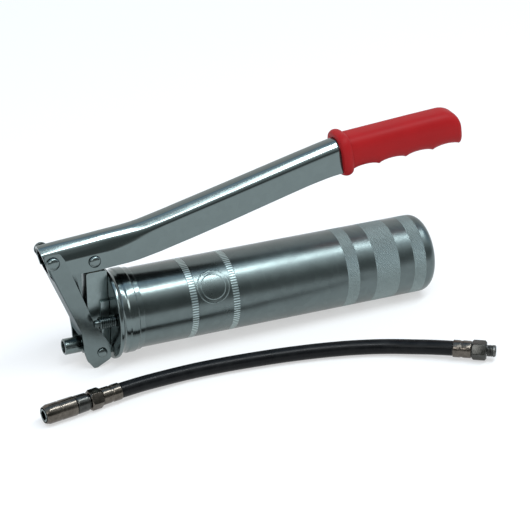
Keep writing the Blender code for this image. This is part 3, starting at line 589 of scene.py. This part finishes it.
def fitting_metal(name, color, roughness):
    """Turned, nickel-plated steel with stains and rubbed spots."""
    s = Surface(name, color, 1.0, roughness)
    stains = s.noise(160, 5.0, 0.65)
    spots = s.noise(700, 3.0, 0.7)
    tone = s.math("ADD", s.math("MULTIPLY", stains, 0.6), s.math("MULTIPLY", spots, 0.4))
    s.color(s.blend(s.remap(tone, 0.3, 0.7, 0, 1), shade(color, 0.6), shade(color, 1.55)))
    s.rough(s.remap(stains, 0.3, 0.7, roughness - 0.08, roughness + 0.12))
    s.bump(spots, 0.03)
    return s.mat


def hose_rubber():
    color = (0.004, 0.0044, 0.005)
    s = Surface("hose_rubber", color, 0.0, 0.34)
    dust = s.noise(120, 4.0)
    s.color(s.blend(s.remap(dust, 0.45, 0.8, 0, 1), color, (0.009, 0.0095, 0.010)))
    s.rough(s.remap(dust, 0.3, 0.7, 0.24, 0.38))
    weave = s.noise(900, 2.0)
    s.bump(weave, 0.02)
    s.shader.inputs["Specular IOR Level"].default_value = 0.14
    return s.mat


def seal_rubber():
    color = (0.018, 0.018, 0.019)
    s = Surface("seal_rubber", color, 0.0, 0.6)
    dust = s.noise(300, 3.0)
    s.color(s.blend(dust, color, (0.035, 0.035, 0.035)))
    s.bump(dust, 0.03)
    return s.mat


def grip_plastic():
    """Satin red moulded plastic, with a fine matte grain and faint flow marks."""
    color = (0.330, 0.0085, 0.0105)
    s = Surface("red_grip", color, 0.0, 0.50)
    clouds = s.noise(28, 4.0)
    s.color(s.blend(s.remap(clouds, 0.3, 0.7, 0, 1), shade(color, 0.93), shade(color, 1.07)))
    s.rough(s.remap(clouds, 0.3, 0.7, 0.46, 0.56))
    s.bump(s.noise(1400, 3.0), 0.02)
    s.bump(s.noise(90, 2.0), 0.05)
    s.shader.inputs["Specular IOR Level"].default_value = 0.14
    return s.mat


# --- Barrel and head ------------------------------------------------------------------------------


def make_barrel(m):
    """The drawn barrel: open at the front, closed round the rod at the rear."""
    corners = [
        (-48.2, 28.25),
        (191.0, 28.25),
        (191.0, 4.6),
        (189.9, 4.6),
        (189.9, 27.15),
        (-48.2, 27.15),
    ]
    outline = fillet(corners, [0.2, 7.5, 0.3, 0, 6.4, 0.2], 10)
    obj = revolve("barrel_shell", outline, steps=160)
    return add(obj, "barrel", "barrel_tube", m["barrel"])


def make_cap(m):
    """The pressed head cap: rolled rim, hollow neck, threaded collar and a short lip."""
    front = -54.0
    corners = [
        (front, 6.2),
        (front, 31.2),
        (front + 0.3, 32.3),
        (front + 2.6, 32.3),
        (front + 3.4, 30.6),
        (front + 5.0, 29.5),
        (front + 8.0, 29.3),
        (front + 9.2, 29.95),
        (front + 14.7, 29.95),
        (front + 15.3, 29.15),
        (-35.0, 29.15),
        (-35.0, 28.55),
        (-50.2, 28.55),
        (-50.2, 6.2),
    ]
    radii = [0.3, 0.6, 0.9, 0.9, 1.2, 2.5, 1.2, 0.5, 0.5, 0.3, 0.25, 0.0, 0.8, 0.0]
    obj = revolve("cap_shell", fillet(corners, radii, 4), steps=160, angle=60)
    hole = peg("hole", 3.3, (1, 0, 0), (front - 2, VENT_Y, VENT_Z), 8, 40)
    combine(obj, [hole])
    return add(obj, "gun", "head_cap", m["head"])


def make_block(m):
    """The pump block with its foot, boss and bores, and the gland on top of it."""
    corners = [(-69.0, -27.5), (-54.3, -27.5), (-54.3, 36.2), (-69.0, 36.2)]
    body = plate("pump_body", fillet(corners, [2.0, 0.4, 1.6, 1.6], 4), -7.0, 7.0)
    foot = block("foot", (-60.3, -9.5, -26.3), (-54.31, 9.5, 14.0))
    boss = peg("boss", 7.0, (0, 1, 0), (PIN_B[0], -10.7, PIN_B[1]), 21.4, 64)
    spigot = peg("spigot", 5.9, (1, 0, 0), (-58.0, 0, 0), 12.4)
    combine(body, [foot, boss, spigot], "UNION")
    soften(body, 0.7, 3)
    bore = peg("bore", 3.8, (0, 0, 1), (BORE_X, 0, -13.0), 52)
    duct = peg("duct", 2.4, (1, 0, 0), (BORE_X, 0, 0), 20, 24)
    eye = peg("eye", LOWER_EYE_R, (0, 1, 0), (PIN_B[0], -13, PIN_B[1]), 26, 32)
    seat = peg("seat", 4.5, (1, 0, 0), (-71.0, 0, OUTLET_Z), 3.6, 32)
    combine(body, [bore, duct, eye, seat])
    add(body, "gun", "pump_block", m["block"])
    low = 36.5
    ring = fillet(
        [(low, 3.8), (low, 5.8), (low + 2.3, 5.8), (low + 2.3, 3.8)], [0, 0.2, 0.6, 0.2], 3
    )
    gland = revolve("gland_ring", ring, (0, 0, 1), (BORE_X, 0, 0), 64)
    add(gland, "gun", "plunger_gland", m["brass"])


def make_nozzle(m):
    """The outlet nozzle, open at the front, with the valve's chamber behind its socket."""
    corners = [
        (-85.5, 4.2),
        (-85.5, 5.1),
        (-84.9, 5.7),
        (-69.3, 5.7),
        (-69.3, 4.2),
        (-67.7, 4.2),
        (-67.7, 1.5),
        (-70.5, 1.5),
        (-70.5, 2.9),
        (-79.8, 2.9),
        (-79.8, 4.2),
    ]
    radii = [0.15, 0.12, 0.15, 0.3, 0, 0, 0, 0, 0, 0, 0]
    obj = revolve("nozzle_tube", fillet(corners, radii, 3), (1, 0, 0), (0, 0, OUTLET_Z), 72)
    add(obj, "gun", "outlet_nozzle", m["pin"])


def make_bleeder(m):
    """The threaded vent screw, with a slot in its end."""
    stations = [(-68.6, 2.1), (-68.0, 2.6), (-65.3, 2.6), (-65.3, 3.7)]
    x = -65.1
    while x < -55.4:
        stations += [(x, 3.8), (x + 0.55, 4.4), (x + 0.8, 4.4), (x + 1.3, 3.55)]
        x += 1.45
    stations += [(-54.3, 4.3), (-54.3, 3.0), (-50.6, 3.0)]
    obj = revolve("vent_screw", solid_outline(stations), (1, 0, 0), (0, VENT_Y, VENT_Z), 40)
    combine(obj, [block("slot", (-69.6, -18.93, -0.5), (-67.0, -18.07, 6.5))])
    add(obj, "bleeder", "bleeder_screw", m["screw"])


def make_rivet(m, name, node, body, centre, radius, dome, under):
    """A rivet along Y with a low domed head at each end."""
    half = []
    for i in range(9):
        angle = math.pi / 2 * i / 9
        half.append((under + 0.25 + (dome - 0.25) * math.sin(angle), radius * math.cos(angle) ** 0.8))
    half = [(under, radius * 0.55), (under, radius - 0.1)] + half
    outline = [(-h, r) for h, r in reversed(half)] + half
    top = under + dome
    outline = [(-top, 0.0)] + outline + [(top, 0.0)]
    obj = revolve(name, outline, (0, 1, 0), (centre[0], 0, centre[1]), 48)
    add(obj, body, node, m["pin"])


# --- Linkage --------------------------------------------------------------------------------------

FRONT_TOP = (-99.6, 52.6)
FRONT_LOW = (-75.9, -5.0)
FAR_END_R = 4.9
FRONT_BEVEL = 2.4
LINK_HALF = 13.0
LINK_INNER = 11.0
WEB_T = 2.0
WEB_TOP = 36.5
WEB_LOW = -11.0


def far_end_outline(count):
    """What is cut from the far arm's upper end, to leave it round about its pin."""
    outline = []
    for i in range(count + 1):
        angle = math.radians(174 - 136 * i / count)
        x = PIN_A[0] + FAR_END_R * math.cos(angle)
        outline.append((x, PIN_A[1] + FAR_END_R * math.sin(angle)))
    return outline + [(-81.0, 51.3), (-81.0, 63.0), (-108.0, 63.0), (-108.0, 51.1)]


def make_link(m):
    """Two side arms joined by a front web, with the ears that the gun stands on below."""
    outline = [
        FRONT_TOP,
        (-99.4, 57.8),
        (-88.9, 57.8),
        (-85.6, 52.4),
        (-73.9, 20.9),
        (-66.1, -0.7),
        (-55.1, -18.6),
        (-55.4, -28.7),
        (-65.4, EAR_Z),
        (-67.8, EAR_Z),
        (-72.2, -28.1),
        (-74.6, -19.8),
        (-74.8, -14.0),
        FRONT_LOW,
    ]
    radii = [0, 1.5, 2.0, 3.0, 0, 8.0, 3.0, 3.0, 1.0, 1.0, 2.0, 2.0, 3.0, 0]
    body = plate("link_arms", fillet(outline, radii, 6), -LINK_HALF, LINK_HALF)
    run = (Vector(FRONT_LOW) - Vector(FRONT_TOP)).normalized()
    inward = Vector((-run.y, run.x))
    if inward.x < 0:
        inward = -inward

    def along(z, depth):
        start = Vector(FRONT_TOP) + inward * depth
        t = (z - start.y) / run.y
        return (start.x + run.x * t, z)

    bm = bmesh.new()
    bm.from_mesh(body.data)
    picked = []
    for edge in bm.edges:
        a, b = (v.co / MM for v in edge.verts)
        same = abs(a.y - b.y) < 0.01 and abs(abs(a.y) - LINK_HALF) < 0.01
        ends = {round(a.x, 1), round(b.x, 1)}
        if same and ends == {FRONT_TOP[0], FRONT_LOW[0]}:
            picked.append(edge)
    bmesh.ops.bevel(
        bm,
        geom=picked,
        offset=FRONT_BEVEL * MM,
        offset_type="OFFSET",
        segments=8,
        profile=0.5,
        affect="EDGES",
    )
    bm.to_mesh(body.data)
    bm.free()
    tidy_mesh(body.data)
    cut = [
        (-110.0, WEB_TOP),
        along(WEB_TOP, -3.0),
        along(WEB_TOP, WEB_T),
        along(WEB_LOW, WEB_T),
        along(WEB_LOW, -3.0),
        (-90.0, WEB_LOW),
        (-90.0, -45.0),
        (-45.0, -45.0),
        (-45.0, 70.0),
        (-110.0, 70.0),
    ]
    hollow = plate("hollow", cut, -LINK_INNER, LINK_INNER)
    far_end = plate("far_end", far_end_outline(12), LINK_INNER - 0.7, LINK_HALF + 1.0)
    combine(body, [far_end, hollow])
    eyes = []
    for (x, z), radius in ((PIN_A, UPPER_EYE_R), (PIN_B, LOWER_EYE_R)):
        eyes.append(peg("eye", radius, (0, 1, 0), (x, -20, z), 40, 32))
    combine(body, eyes)
    soften(body, 0.28, 2, 50)
    add(body, "link", "link_plate", m["link"])


SLOT_HALF_W = 4.05
SLOT_HALF_H = 3.15


def make_plunger(m):
    """The plunger's rod and its flat head, with the slot for the drive rivet."""
    corners = [(-70.5, 39.4), (-54.9, 39.4), (-54.9, 53.2), (-70.5, 53.2)]
    head = plate("plunger_head", fillet(corners, [2, 2, 5, 5], 6), -5.5, 5.5)
    soften(head, 0.5, 2, 50)
    outline = solid_outline([(-9.5, 3.0), (-9.0, 3.5), (41.0, 3.5)])
    rod = revolve("rod", outline, (0, 0, 1), (BORE_X, 0, 0), 48)
    combine(head, [rod], "UNION")
    slot_z = PIN_C[1] + 0.33
    left, right = BORE_X - SLOT_HALF_W, BORE_X + SLOT_HALF_W
    low, high = slot_z - SLOT_HALF_H, slot_z + SLOT_HALF_H
    window = [(left, low), (right, low), (right, high), (left, high)]
    combine(head, [plate("window", fillet(window, [2.7] * 4, 6), -8, 8)])
    add(head, "plunger", "plunger", m["rod"])


# --- Lever and grip -------------------------------------------------------------------------------

# (top x, top z, bottom x, bottom z, half width, half width of the flat top, shoulder's, depth to the side)
LEVER_STATIONS = [
    (-100.5, 59.1, -96.0, 41.6, 10.7, 2.4, 6.9, 10.0),
    (-90.0, 60.1, -87.5, 39.2, 10.7, 2.4, 6.9, 10.2),
    (-68.1, 61.7, -67.0, 39.0, 10.7, 2.5, 6.9, 10.4),
    (-58.0, 62.5, -56.5, 39.5, 10.7, 2.6, 6.9, 10.8),
    (-50.0, 63.1, -48.0, 40.0, 10.5, 2.7, 7.0, 11.2),
    (-43.0, 63.6, -40.5, 40.3, 10.2, 2.8, 7.1, 10.8),
    (-36.0, 64.3, -32.6, 41.0, 9.9, 2.9, 7.2, 9.9),
    (-29.0, 65.3, -24.9, 42.3, 9.6, 3.0, 7.4, 9.0),
    (-21.0, 67.0, -16.3, 43.9, 9.4, 3.1, 7.5, 8.2),
    (-10.0, 69.5, -5.0, 46.6, 9.3, 3.2, 7.6, 7.6),
    (2.0, 72.5, 7.0, 49.5, 9.3, 3.2, 7.6, 7.5),
    (30.0, 79.4, 36.2, 57.0, 9.3, 3.2, 7.6, 7.5),
    (95.0, 95.7, 101.0, 74.3, 9.3, 3.2, 7.6, 7.5),
    (110.0, 99.3, 114.4, 77.0, 9.3, 3.2, 7.6, 7.5),
    (119.5, 101.3, 122.6, 78.2, 9.3, 3.2, 7.6, 7.5),
    (121.5, 101.5, 124.4, 79.9, 9.3, 3.2, 7.6, 7.5),
    (126.0, 101.7, 128.0, 81.8, 9.3, 3.2, 7.6, 7.5),
    (150.0, 103.2, 151.6, 83.7, 9.3, 3.2, 7.6, 7.5),
    (199.5, 106.8, 201.0, 87.4, 9.3, 3.2, 7.6, 7.5),
]
LEVER_SHOULDER_DEPTH = 3.5
LEVER_T = 1.5
# The lobe on each cheek of the lever, in front of the pump block, and its sides
CHEEK_LOBE = [(-91.0, 46.0), (-73.5, 46.0), (-73.5, 20.5), (-81.5, 20.5), (-91.0, 41.5)]
CHEEK_INNER = 9.22
CHEEK_OUTER = 10.68


def smooth_stations(stations, per_span):
    """Pass a monotone smooth curve through the stations."""
    out = []
    last = len(stations) - 1
    for i in range(last):
        before, here = stations[max(i - 1, 0)], stations[i]
        after, beyond = stations[i + 1], stations[min(i + 2, last)]
        for k in range(per_span):
            t = k / per_span
            row = []
            for a, b, c, d in zip(before, here, after, beyond):
                m0, m1 = slope(a, b, c), slope(b, c, d)
                h00 = 2 * t**3 - 3 * t**2 + 1
                h10 = t**3 - 2 * t**2 + t
                h01 = -2 * t**3 + 3 * t**2
                h11 = t**3 - t**2
                row.append(h00 * b + h10 * m0 + h01 * c + h11 * m1)
            out.append(tuple(row))
    out.append(tuple(stations[-1]))
    return out


def slope(a, b, c):
    """The slope at b that keeps a curve from overshooting its neighbours."""
    left, right = b - a, c - b
    if left * right <= 0:
        return 0.0
    return 2 * left * right / (left + right)


def partway(a, b, t):
    return tuple(p + (q - p) * t for p, q in zip(a, b))


def curve_points(a, b, c, count):
    """A bend from a to c that leans towards b."""
    out = []
    for k in range(count + 1):
        t = k / count
        mixed = [p * (1 - t) ** 2 + 2 * q * t * (1 - t) + r * t * t for p, q, r in zip(a, b, c)]
        out.append(tuple(mixed))
    return out


def lever_section(station):
    """One U section of the lever's outer skin, from its near lower edge over the top to the far one."""
    top_x, top_z, low_x, low_z, half, flat, shoulder, drop = station
    top = Vector((top_x, 0, top_z))
    down = Vector((low_x - top_x, 0, low_z - top_z))
    depth = down.length
    down.normalize()
    lean = half - shoulder
    round_share = max(0.0, min(1.0, (4.0 - lean) / 2.3))
    middle = (
        shoulder + lean * (0.5 + 0.24 * round_share),
        LEVER_SHOULDER_DEPTH + 0.46 * (drop - LEVER_SHOULDER_DEPTH),
    )
    edge = (shoulder, LEVER_SHOULDER_DEPTH)
    crest = (flat + 0.8, 0.3)
    high = partway(crest, edge, 0.78)
    low = partway(edge, middle, 0.45)
    side = [(half, depth), (half, depth - 0.6), (half, depth * 0.7)]
    side += curve_points((half, drop + 1.6), (half, drop - 0.2), partway(middle, (half, drop), 0.35), 5)
    side += curve_points(partway(middle, (half, drop), 0.2), middle, partway(middle, edge, 0.3), 3)
    side += curve_points(low, edge, high, 6)
    side += curve_points(partway(crest, edge, 0.35), crest, (flat, 0.0), 5)
    points = [top + Vector((0, -w, 0)) + down * d for w, d in side]
    points += [top + Vector((0, w, 0)) + down * d for w, d in reversed(side)]
    return points


def make_lever(m):
    """The lever: a folded sheet with rounded shoulders, a lobe on each cheek and its pin holes."""
    rings = [lever_section(s) for s in smooth_stations(LEVER_STATIONS, 6)]
    skin = loft("lever_sheet", rings, cap=False, cyclic=False)
    face = skin.data.polygons[len(rings[0]) // 2 - 1]
    if face.normal.z < 0:
        skin.data.flip_normals()
    mod = skin.modifiers.new("sheet", "SOLIDIFY")
    mod.thickness = LEVER_T * MM
    mod.offset = -1.0
    mod.use_even_offset = True
    mod.use_rim = True
    bake(skin, 50)
    lobes = []
    outline = fillet(CHEEK_LOBE, [0, 0, 2.0, 2.0, 0], 6)
    for low, high in ((-CHEEK_OUTER, -CHEEK_INNER), (CHEEK_INNER, CHEEK_OUTER)):
        lobes.append(plate("lobe", outline, low, high))
    combine(skin, lobes, "UNION")
    eyes = []
    for (x, z), radius in ((PIN_A, UPPER_EYE_R), (PIN_C, DRIVE_EYE_R)):
        eyes.append(peg("eye", radius, (0, 1, 0), (x, -20, z), 40, 32))
    combine(skin, eyes)
    soften(skin, 0.3, 2, 60)
    add(skin, "lever", "lever_channel", m["lever"])


GRIP_ANGLE = math.radians(4.2)
GRIP_START = (121.0, 89.6)
GRIP_HALF_W = 11.8
GRIP_HALF_H = 13.3
GRIP_LENGTH = 94.8
GRIP_LEAN = 0.06
FLANGE_LENGTH = 7.5
GROOVE_PITCH = 21.35
GROOVE_DEPTH = 2.5
GROOVES_END = 93.0
TAIL_TOP_R = 12.0
TAIL_R = 4.0
POCKET_GROWTH = 1.03


def grip_point(s, w, h):
    """A point of the grip: s along its axis from the front face, w across, h up."""
    dx, dz = math.cos(GRIP_ANGLE), math.sin(GRIP_ANGLE)
    along = s - GRIP_LEAN * h
    return (GRIP_START[0] + along * dx - h * dz, w, GRIP_START[1] + along * dz + h * dx)


def grip_profile(s):
    """Half width, height above and depth below the axis at one station."""
    half_w = GRIP_HALF_W
    up = GRIP_HALF_H + 0.6 * min(1.0, s / 60)
    down = GRIP_HALF_H
    if s < FLANGE_LENGTH:
        swell = math.sin(math.pi * (s + 0.6) / 8.7) ** 0.5
        half_w += 2.6 * swell
        up += 2.8 * swell
        down += 2.6 * swell
    elif s < GROOVES_END:
        t = (s - FLANGE_LENGTH) / GROOVE_PITCH
        groove = abs(math.sin(math.pi * (t - math.floor(t)))) ** 0.55
        down -= GROOVE_DEPTH * groove
    rest = GRIP_LENGTH - s
    if rest < TAIL_TOP_R:
        up -= 9.0 * (1 - math.sqrt(max(0.0, 1 - ((TAIL_TOP_R - rest) / TAIL_TOP_R) ** 2)))
    if rest < TAIL_R:
        bend = 1 - math.sqrt(max(0.0, 1 - ((TAIL_R - rest) / TAIL_R) ** 2))
        down -= 3.0 * bend
        half_w -= 3.2 * bend
    return half_w, up, down


def make_grip(m):
    """The moulded grip, with its flange, finger grooves and the pocket for the lever's tail."""
    stations = []
    s = 0.0
    while s < 8.0:
        stations.append(s)
        s += 0.4
    while s < GRIP_LENGTH - 6:
        stations.append(s)
        s += 0.75
    while s < GRIP_LENGTH:
        stations.append(s)
        s += 0.3
    stations.append(GRIP_LENGTH)
    count = 72
    rings = []
    for s in stations:
        half_w, up, down = grip_profile(s)
        ring = []
        for i in range(count):
            angle = 2 * math.pi * i / count
            c, n = math.cos(angle), math.sin(angle)
            w = half_w * math.copysign(abs(c) ** 0.62, c)
            reach = up if n >= 0 else down
            ring.append(grip_point(s, w, reach * math.copysign(abs(n) ** 0.72, n)))
        rings.append(ring)
    body = loft("grip_body", rings, angle=60)
    tail = [s for s in LEVER_STATIONS if s[0] > 100.0]
    rings = []
    for station in smooth_stations(tail, 3):
        ring = lever_section(station)
        middle = sum(ring, Vector()) / len(ring)
        rings.append([middle + (p - middle) * POCKET_GROWTH for p in ring])
    pocket = loft("pocket", rings)
    combine(body, [pocket])
    body.data.set_sharp_from_angle(angle=math.radians(60))
    add(body, "lever", "grip", m["grip"])


# --- Follower -------------------------------------------------------------------------------------


def coil(name, x0, x1, radius, wire, turns, centre_z):
    """A compression spring along X, as a tube swept along its helix."""
    per_turn = 28
    sides = 10
    rings = []
    count = int(turns * per_turn)
    pitch = (x1 - x0) / turns
    for i in range(count + 1):
        angle = 2 * math.pi * i / per_turn
        centre = Vector((x0 + (x1 - x0) * i / count, radius * math.cos(angle), 0))
        centre.z = centre_z + radius * math.sin(angle)
        outward = Vector((0, math.cos(angle), math.sin(angle)))
        tangent = Vector((pitch / (2 * math.pi), -radius * math.sin(angle), radius * math.cos(angle)))
        other = tangent.normalized().cross(outward)
        ring = []
        for k in range(sides):
            turn = 2 * math.pi * k / sides
            ring.append(centre + (outward * math.cos(turn) + other * math.sin(turn)) * wire)
        rings.append(ring)
    return loft(name, rings, angle=60)


SPRING_FRONT = -32.9
SPRING_REAR = 183.9
VALVE_SPRING_FRONT = -78.1
VALVE_SPRING_REAR = -75.5


def make_follower(m):
    """The springs, which their slides squash, and the pull knob; the plates stay CAD nodes."""
    spring = coil("spring_coil", SPRING_FRONT, SPRING_REAR, 19.0, 1.1, 9, 0.0)
    add(spring, "barrel", "follower_spring", m["spring"])
    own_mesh(spring)
    small = coil("valve_coil", VALVE_SPRING_FRONT, VALVE_SPRING_REAR, 2.0, 0.25, 2.5, OUTLET_Z)
    add(small, "gun", "valve_spring", m["spring"])
    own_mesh(small)
    corners = [
        (192.2, 3.3),
        (192.2, 7.2),
        (193.8, 7.4),
        (194.3, 11.0),
        (196.6, 11.0),
        (196.6, 3.3),
    ]
    knob = revolve("pull_knob", fillet(corners, [0, 0.4, 0.5, 0.5, 0.9, 0.3], 5), steps=96)
    add(knob, "follower", "rod_knob", m["rod"])


# --- Hose -----------------------------------------------------------------------------------------

HOSE_R = 5.25
FITTING_AXIS_Z = 7.1
HOSE_MID_Z = 5.45
COUPLER_YAW = math.radians(188.9)
STUB_YAW = math.radians(-33.9)
# The chosen points of the route, as in the CAD source, in metres in the ground's frame
HOSE_ROUTE = [
    (-0.0008, -0.0616),
    (0.0234, -0.0577),
    (0.0490, -0.0554),
    (0.0737, -0.0563),
    (0.0981, -0.0588),
    (0.1221, -0.0624),
    (0.1457, -0.0673),
    (0.1687, -0.0739),
    (0.1906, -0.0828),
    (0.2095, -0.0945),
    (0.2273, -0.1066),
]


def route_point(t):
    """A point of the hose's centre line, in metres; t runs from 0 to 1 over the chosen points."""
    count = len(HOSE_ROUTE) - 1
    position = min(t * count, count - 1e-6)
    i = int(position)
    u = position - i
    points = [HOSE_ROUTE[max(0, min(count, k))] for k in (i - 1, i, i + 1, i + 2)]
    if i == 0:
        points[0] = (
            HOSE_ROUTE[0][0] + 0.020 * math.cos(COUPLER_YAW),
            HOSE_ROUTE[0][1] + 0.020 * math.sin(COUPLER_YAW),
        )
    if i == count - 1:
        points[3] = (
            HOSE_ROUTE[-1][0] + 0.018 * math.cos(STUB_YAW),
            HOSE_ROUTE[-1][1] + 0.018 * math.sin(STUB_YAW),
        )
    out = []
    for axis in (0, 1):
        a, b, c, d = (p[axis] for p in points)
        value = 2 * b + (c - a) * u + (2 * a - 5 * b + 4 * c - d) * u * u
        value += (3 * b - a - 3 * c + d) * u * u * u
        out.append(value / 2)
    near = max(0.0, min(1.0, min(t, 1 - t) / 0.22))
    ease = near * near * (3 - 2 * near)
    out.append((FITTING_AXIS_Z + (HOSE_MID_Z - FITTING_AXIS_Z) * ease) * MM)
    return Vector(out)


def make_hose(m, pieces):
    """The rubber tube along the route, a mesh tube between the fittings on both ends."""
    count = 160
    points = [GROUND @ route_point(i / count) for i in range(count + 1)]
    sides = 40
    verts = []
    for i, point in enumerate(points):
        ahead = points[min(i + 1, count)] - points[max(i - 1, 0)]
        ahead.normalize()
        side = ahead.cross(Vector((0, 0, 1))).normalized()
        lift = side.cross(ahead)
        for k in range(sides):
            turn = 2 * math.pi * k / sides
            arm = side * math.cos(turn) + lift * math.sin(turn)
            verts.append((point + arm * HOSE_R * MM) / MM)
    rings = [verts[i * sides : (i + 1) * sides] for i in range(count + 1)]
    hose = loft("hose", rings, placed=Matrix.Identity(4), angle=60)
    add(hose, "hose", "hose_tube", m["hose"])


def end_place(first):
    yaw = COUPLER_YAW if first else STUB_YAW
    x, y = HOSE_ROUTE[0] if first else HOSE_ROUTE[-1]
    return (math.cos(yaw), math.sin(yaw), 0), (x / MM, y / MM, FITTING_AXIS_Z)


def turned_fitting(name, node, mat, first, corners, radii, steps=72, angle=35):
    """A fitting turned about the hose's end, from its rounded half outline."""
    axis, origin = end_place(first)
    obj = revolve(name, fillet(corners, radii, 4), axis, origin, steps, GROUND, angle)
    return add(obj, "hose", node, mat)


def hex_nut(name, node, mat, first, flats, low, high, hole, chamfer):
    """A hexagonal nut with chamfered corners, between two stations of a hose end."""
    axis, origin = end_place(first)
    axis = Vector(axis)
    side = axis.cross(Vector((0, 0, 1))).normalized()
    corner = flats / math.sqrt(3)
    rings = []
    for station in (low, high):
        ring = []
        for k in range(6):
            turn = math.pi / 3 * k
            arm = side * math.cos(turn) + Vector((0, 0, 1)) * math.sin(turn)
            ring.append(Vector(origin) + axis * station + arm * corner)
        rings.append(ring)
    nut = loft(name, rings, placed=GROUND)
    inner = flats / 2 - 0.2
    wide = corner + 0.3
    stations = [(low + chamfer, wide), (high - chamfer, wide), (high + 0.01, inner)]
    dome = solid_outline([(low - 0.01, inner)] + stations)
    combine(nut, [revolve("dome", dome, tuple(axis), origin, 72, GROUND)], "INTERSECT")
    soften(nut, 0.25, 2, 20)
    start = Vector(origin) + axis * (low - 1)
    combine(nut, [peg("hole", hole, tuple(axis), tuple(start), high - low + 2, 32, GROUND)])
    return add(nut, "hose", node, mat)


def crimp_outline(low, high, radius, groove, depth):
    """A ferrule's half outline, with one crimped groove."""
    waist = radius - depth
    outline = [(low, 2.0), (low, radius), (groove[0], radius), (groove[1], waist)]
    return outline + [(groove[2], waist), (groove[3], radius), (high, radius), (high, 2.0)]


def make_fittings(m):
    """The coupler at the hose's front end and the threaded stub at its rear end."""
    bright, dark = m["nickel"], m["nickel_dark"]
    corners = crimp_outline(0.3, 14.6, 5.9, (6.0, 6.5, 7.9, 8.4), 0.35)
    radii = [0, 0.7, 0.3, 0.3, 0.3, 0.3, 0.8, 0]
    pieces = [turned_fitting("crimp_front", "ferrule_front", bright, True, corners, radii)]
    nut = hex_nut("nut_front", "hose_nut_front", bright, True, 12.6, 14.9, 23.6, 2.3, 1.4)
    pieces.append(nut)
    corners = [
        (23.9, 1.8),
        (23.9, 5.0),
        (24.9, 5.0),
        (25.6, 6.2),
        (33.0, 6.4),
        (33.8, 5.9),
        (33.8, 4.8),
        (42.0, 4.8),
        (42.0, 1.8),
    ]
    radii = [0, 0.2, 0.2, 0.4, 0.3, 0.2, 0, 0, 0]
    pieces.append(turned_fitting("coupler_rear", "coupler_body", dark, True, corners, radii))
    corners = [
        (34.2, 5.2),
        (34.2, 6.2),
        (34.8, 6.7),
        (45.0, 6.7),
        (45.4, 6.4),
        (46.2, 6.4),
        (46.6, 6.7),
        (54.3, 6.7),
        (57.0, 5.7),
        (57.0, 5.2),
    ]
    radii = [0, 0.2, 0.3, 0.15, 0.15, 0.15, 0.15, 2.2, 0.2, 0.1]
    pieces.append(turned_fitting("coupler_shell", "coupler_sleeve", bright, True, corners, radii))
    corners = crimp_outline(0.3, 13.1, 6.1, (5.2, 5.6, 7.0, 7.4), 0.3)
    radii = [0, 0.7, 0.2, 0.2, 0.2, 0.2, 0.6, 0]
    pieces.append(turned_fitting("crimp_rear", "ferrule_rear", bright, False, corners, radii))
    nut = hex_nut("nut_rear", "hose_nut_rear", dark, False, 12.2, 13.4, 23.6, 2.3, 1.6)
    pieces.append(nut)
    corners = [(23.9, 1.8), (23.9, 4.1)]
    s = 24.4
    while s < 28.6:
        corners += [(s, 3.75), (s + 0.45, 4.2), (s + 0.6, 4.2)]
        s += 1.05
    corners += [(29.3, 4.1), (30.0, 3.4), (30.0, 1.8)]
    radii = [0] * len(corners)
    pieces.append(turned_fitting("screw_stub", "thread_stub", m["thread"], False, corners, radii))
    return pieces


# --- Put together ---------------------------------------------------------------------------------


def dress_nodes(m):
    """Give every CAD node that stays its detailed material."""
    kept = {
        "head_gasket": "seal",
        "spigot_nut": "pin",
        "valve_ball": "pin",
        "valve_retainer": "brass",
        "rod_bush": "brass",
        "follower_rod": "rod",
        "rod_nut": "pin",
        "front_plate": "head",
        "follower_cup": "seal",
        "back_plate": "head",
        "coupler_seal": "seal",
        "coupler_jaw_1": "pin",
        "coupler_jaw_2": "pin",
        "coupler_jaw_3": "pin",
        "coupler_jaw_4": "pin",
    }
    for name, key in kept.items():
        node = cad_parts[name]
        node.data.materials.clear()
        node.data.materials.append(m[key])
    return [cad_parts[n] for n in kept if n.startswith("coupler")]


make_camera()
make_world()
make_stage()
area_light("softbox", (0.30, -0.50, 1.35), (0.0, 0.0, 0.05), (1.5, 0.19), 14.5, (0.93, 0.98, 1.0))
area_light("fill", (-0.9, -1.0, 0.9), (0.0, 0.0, 0.05), (0.5, 0.5), 3.0)

materials = make_materials()
make_barrel(materials)
make_cap(materials)
make_block(materials)
make_nozzle(materials)
make_bleeder(materials)
make_rivet(materials, "rivet_upper", "upper_pin", "link", PIN_A, 4.7, 2.7, 13.3)
make_rivet(materials, "rivet_lower", "lower_pin", "gun", PIN_B, 3.5, 1.7, 13.3)
make_rivet(materials, "rivet_drive", "drive_pin", "lever", PIN_C, 4.3, 2.5, 11.0)
make_link(materials)
make_plunger(materials)
make_lever(materials)
make_grip(materials)
make_follower(materials)
stay = dress_nodes(materials)
make_hose(materials, make_fittings(materials) + stay)

bpy.context.scene.view_settings.view_transform = "Standard"
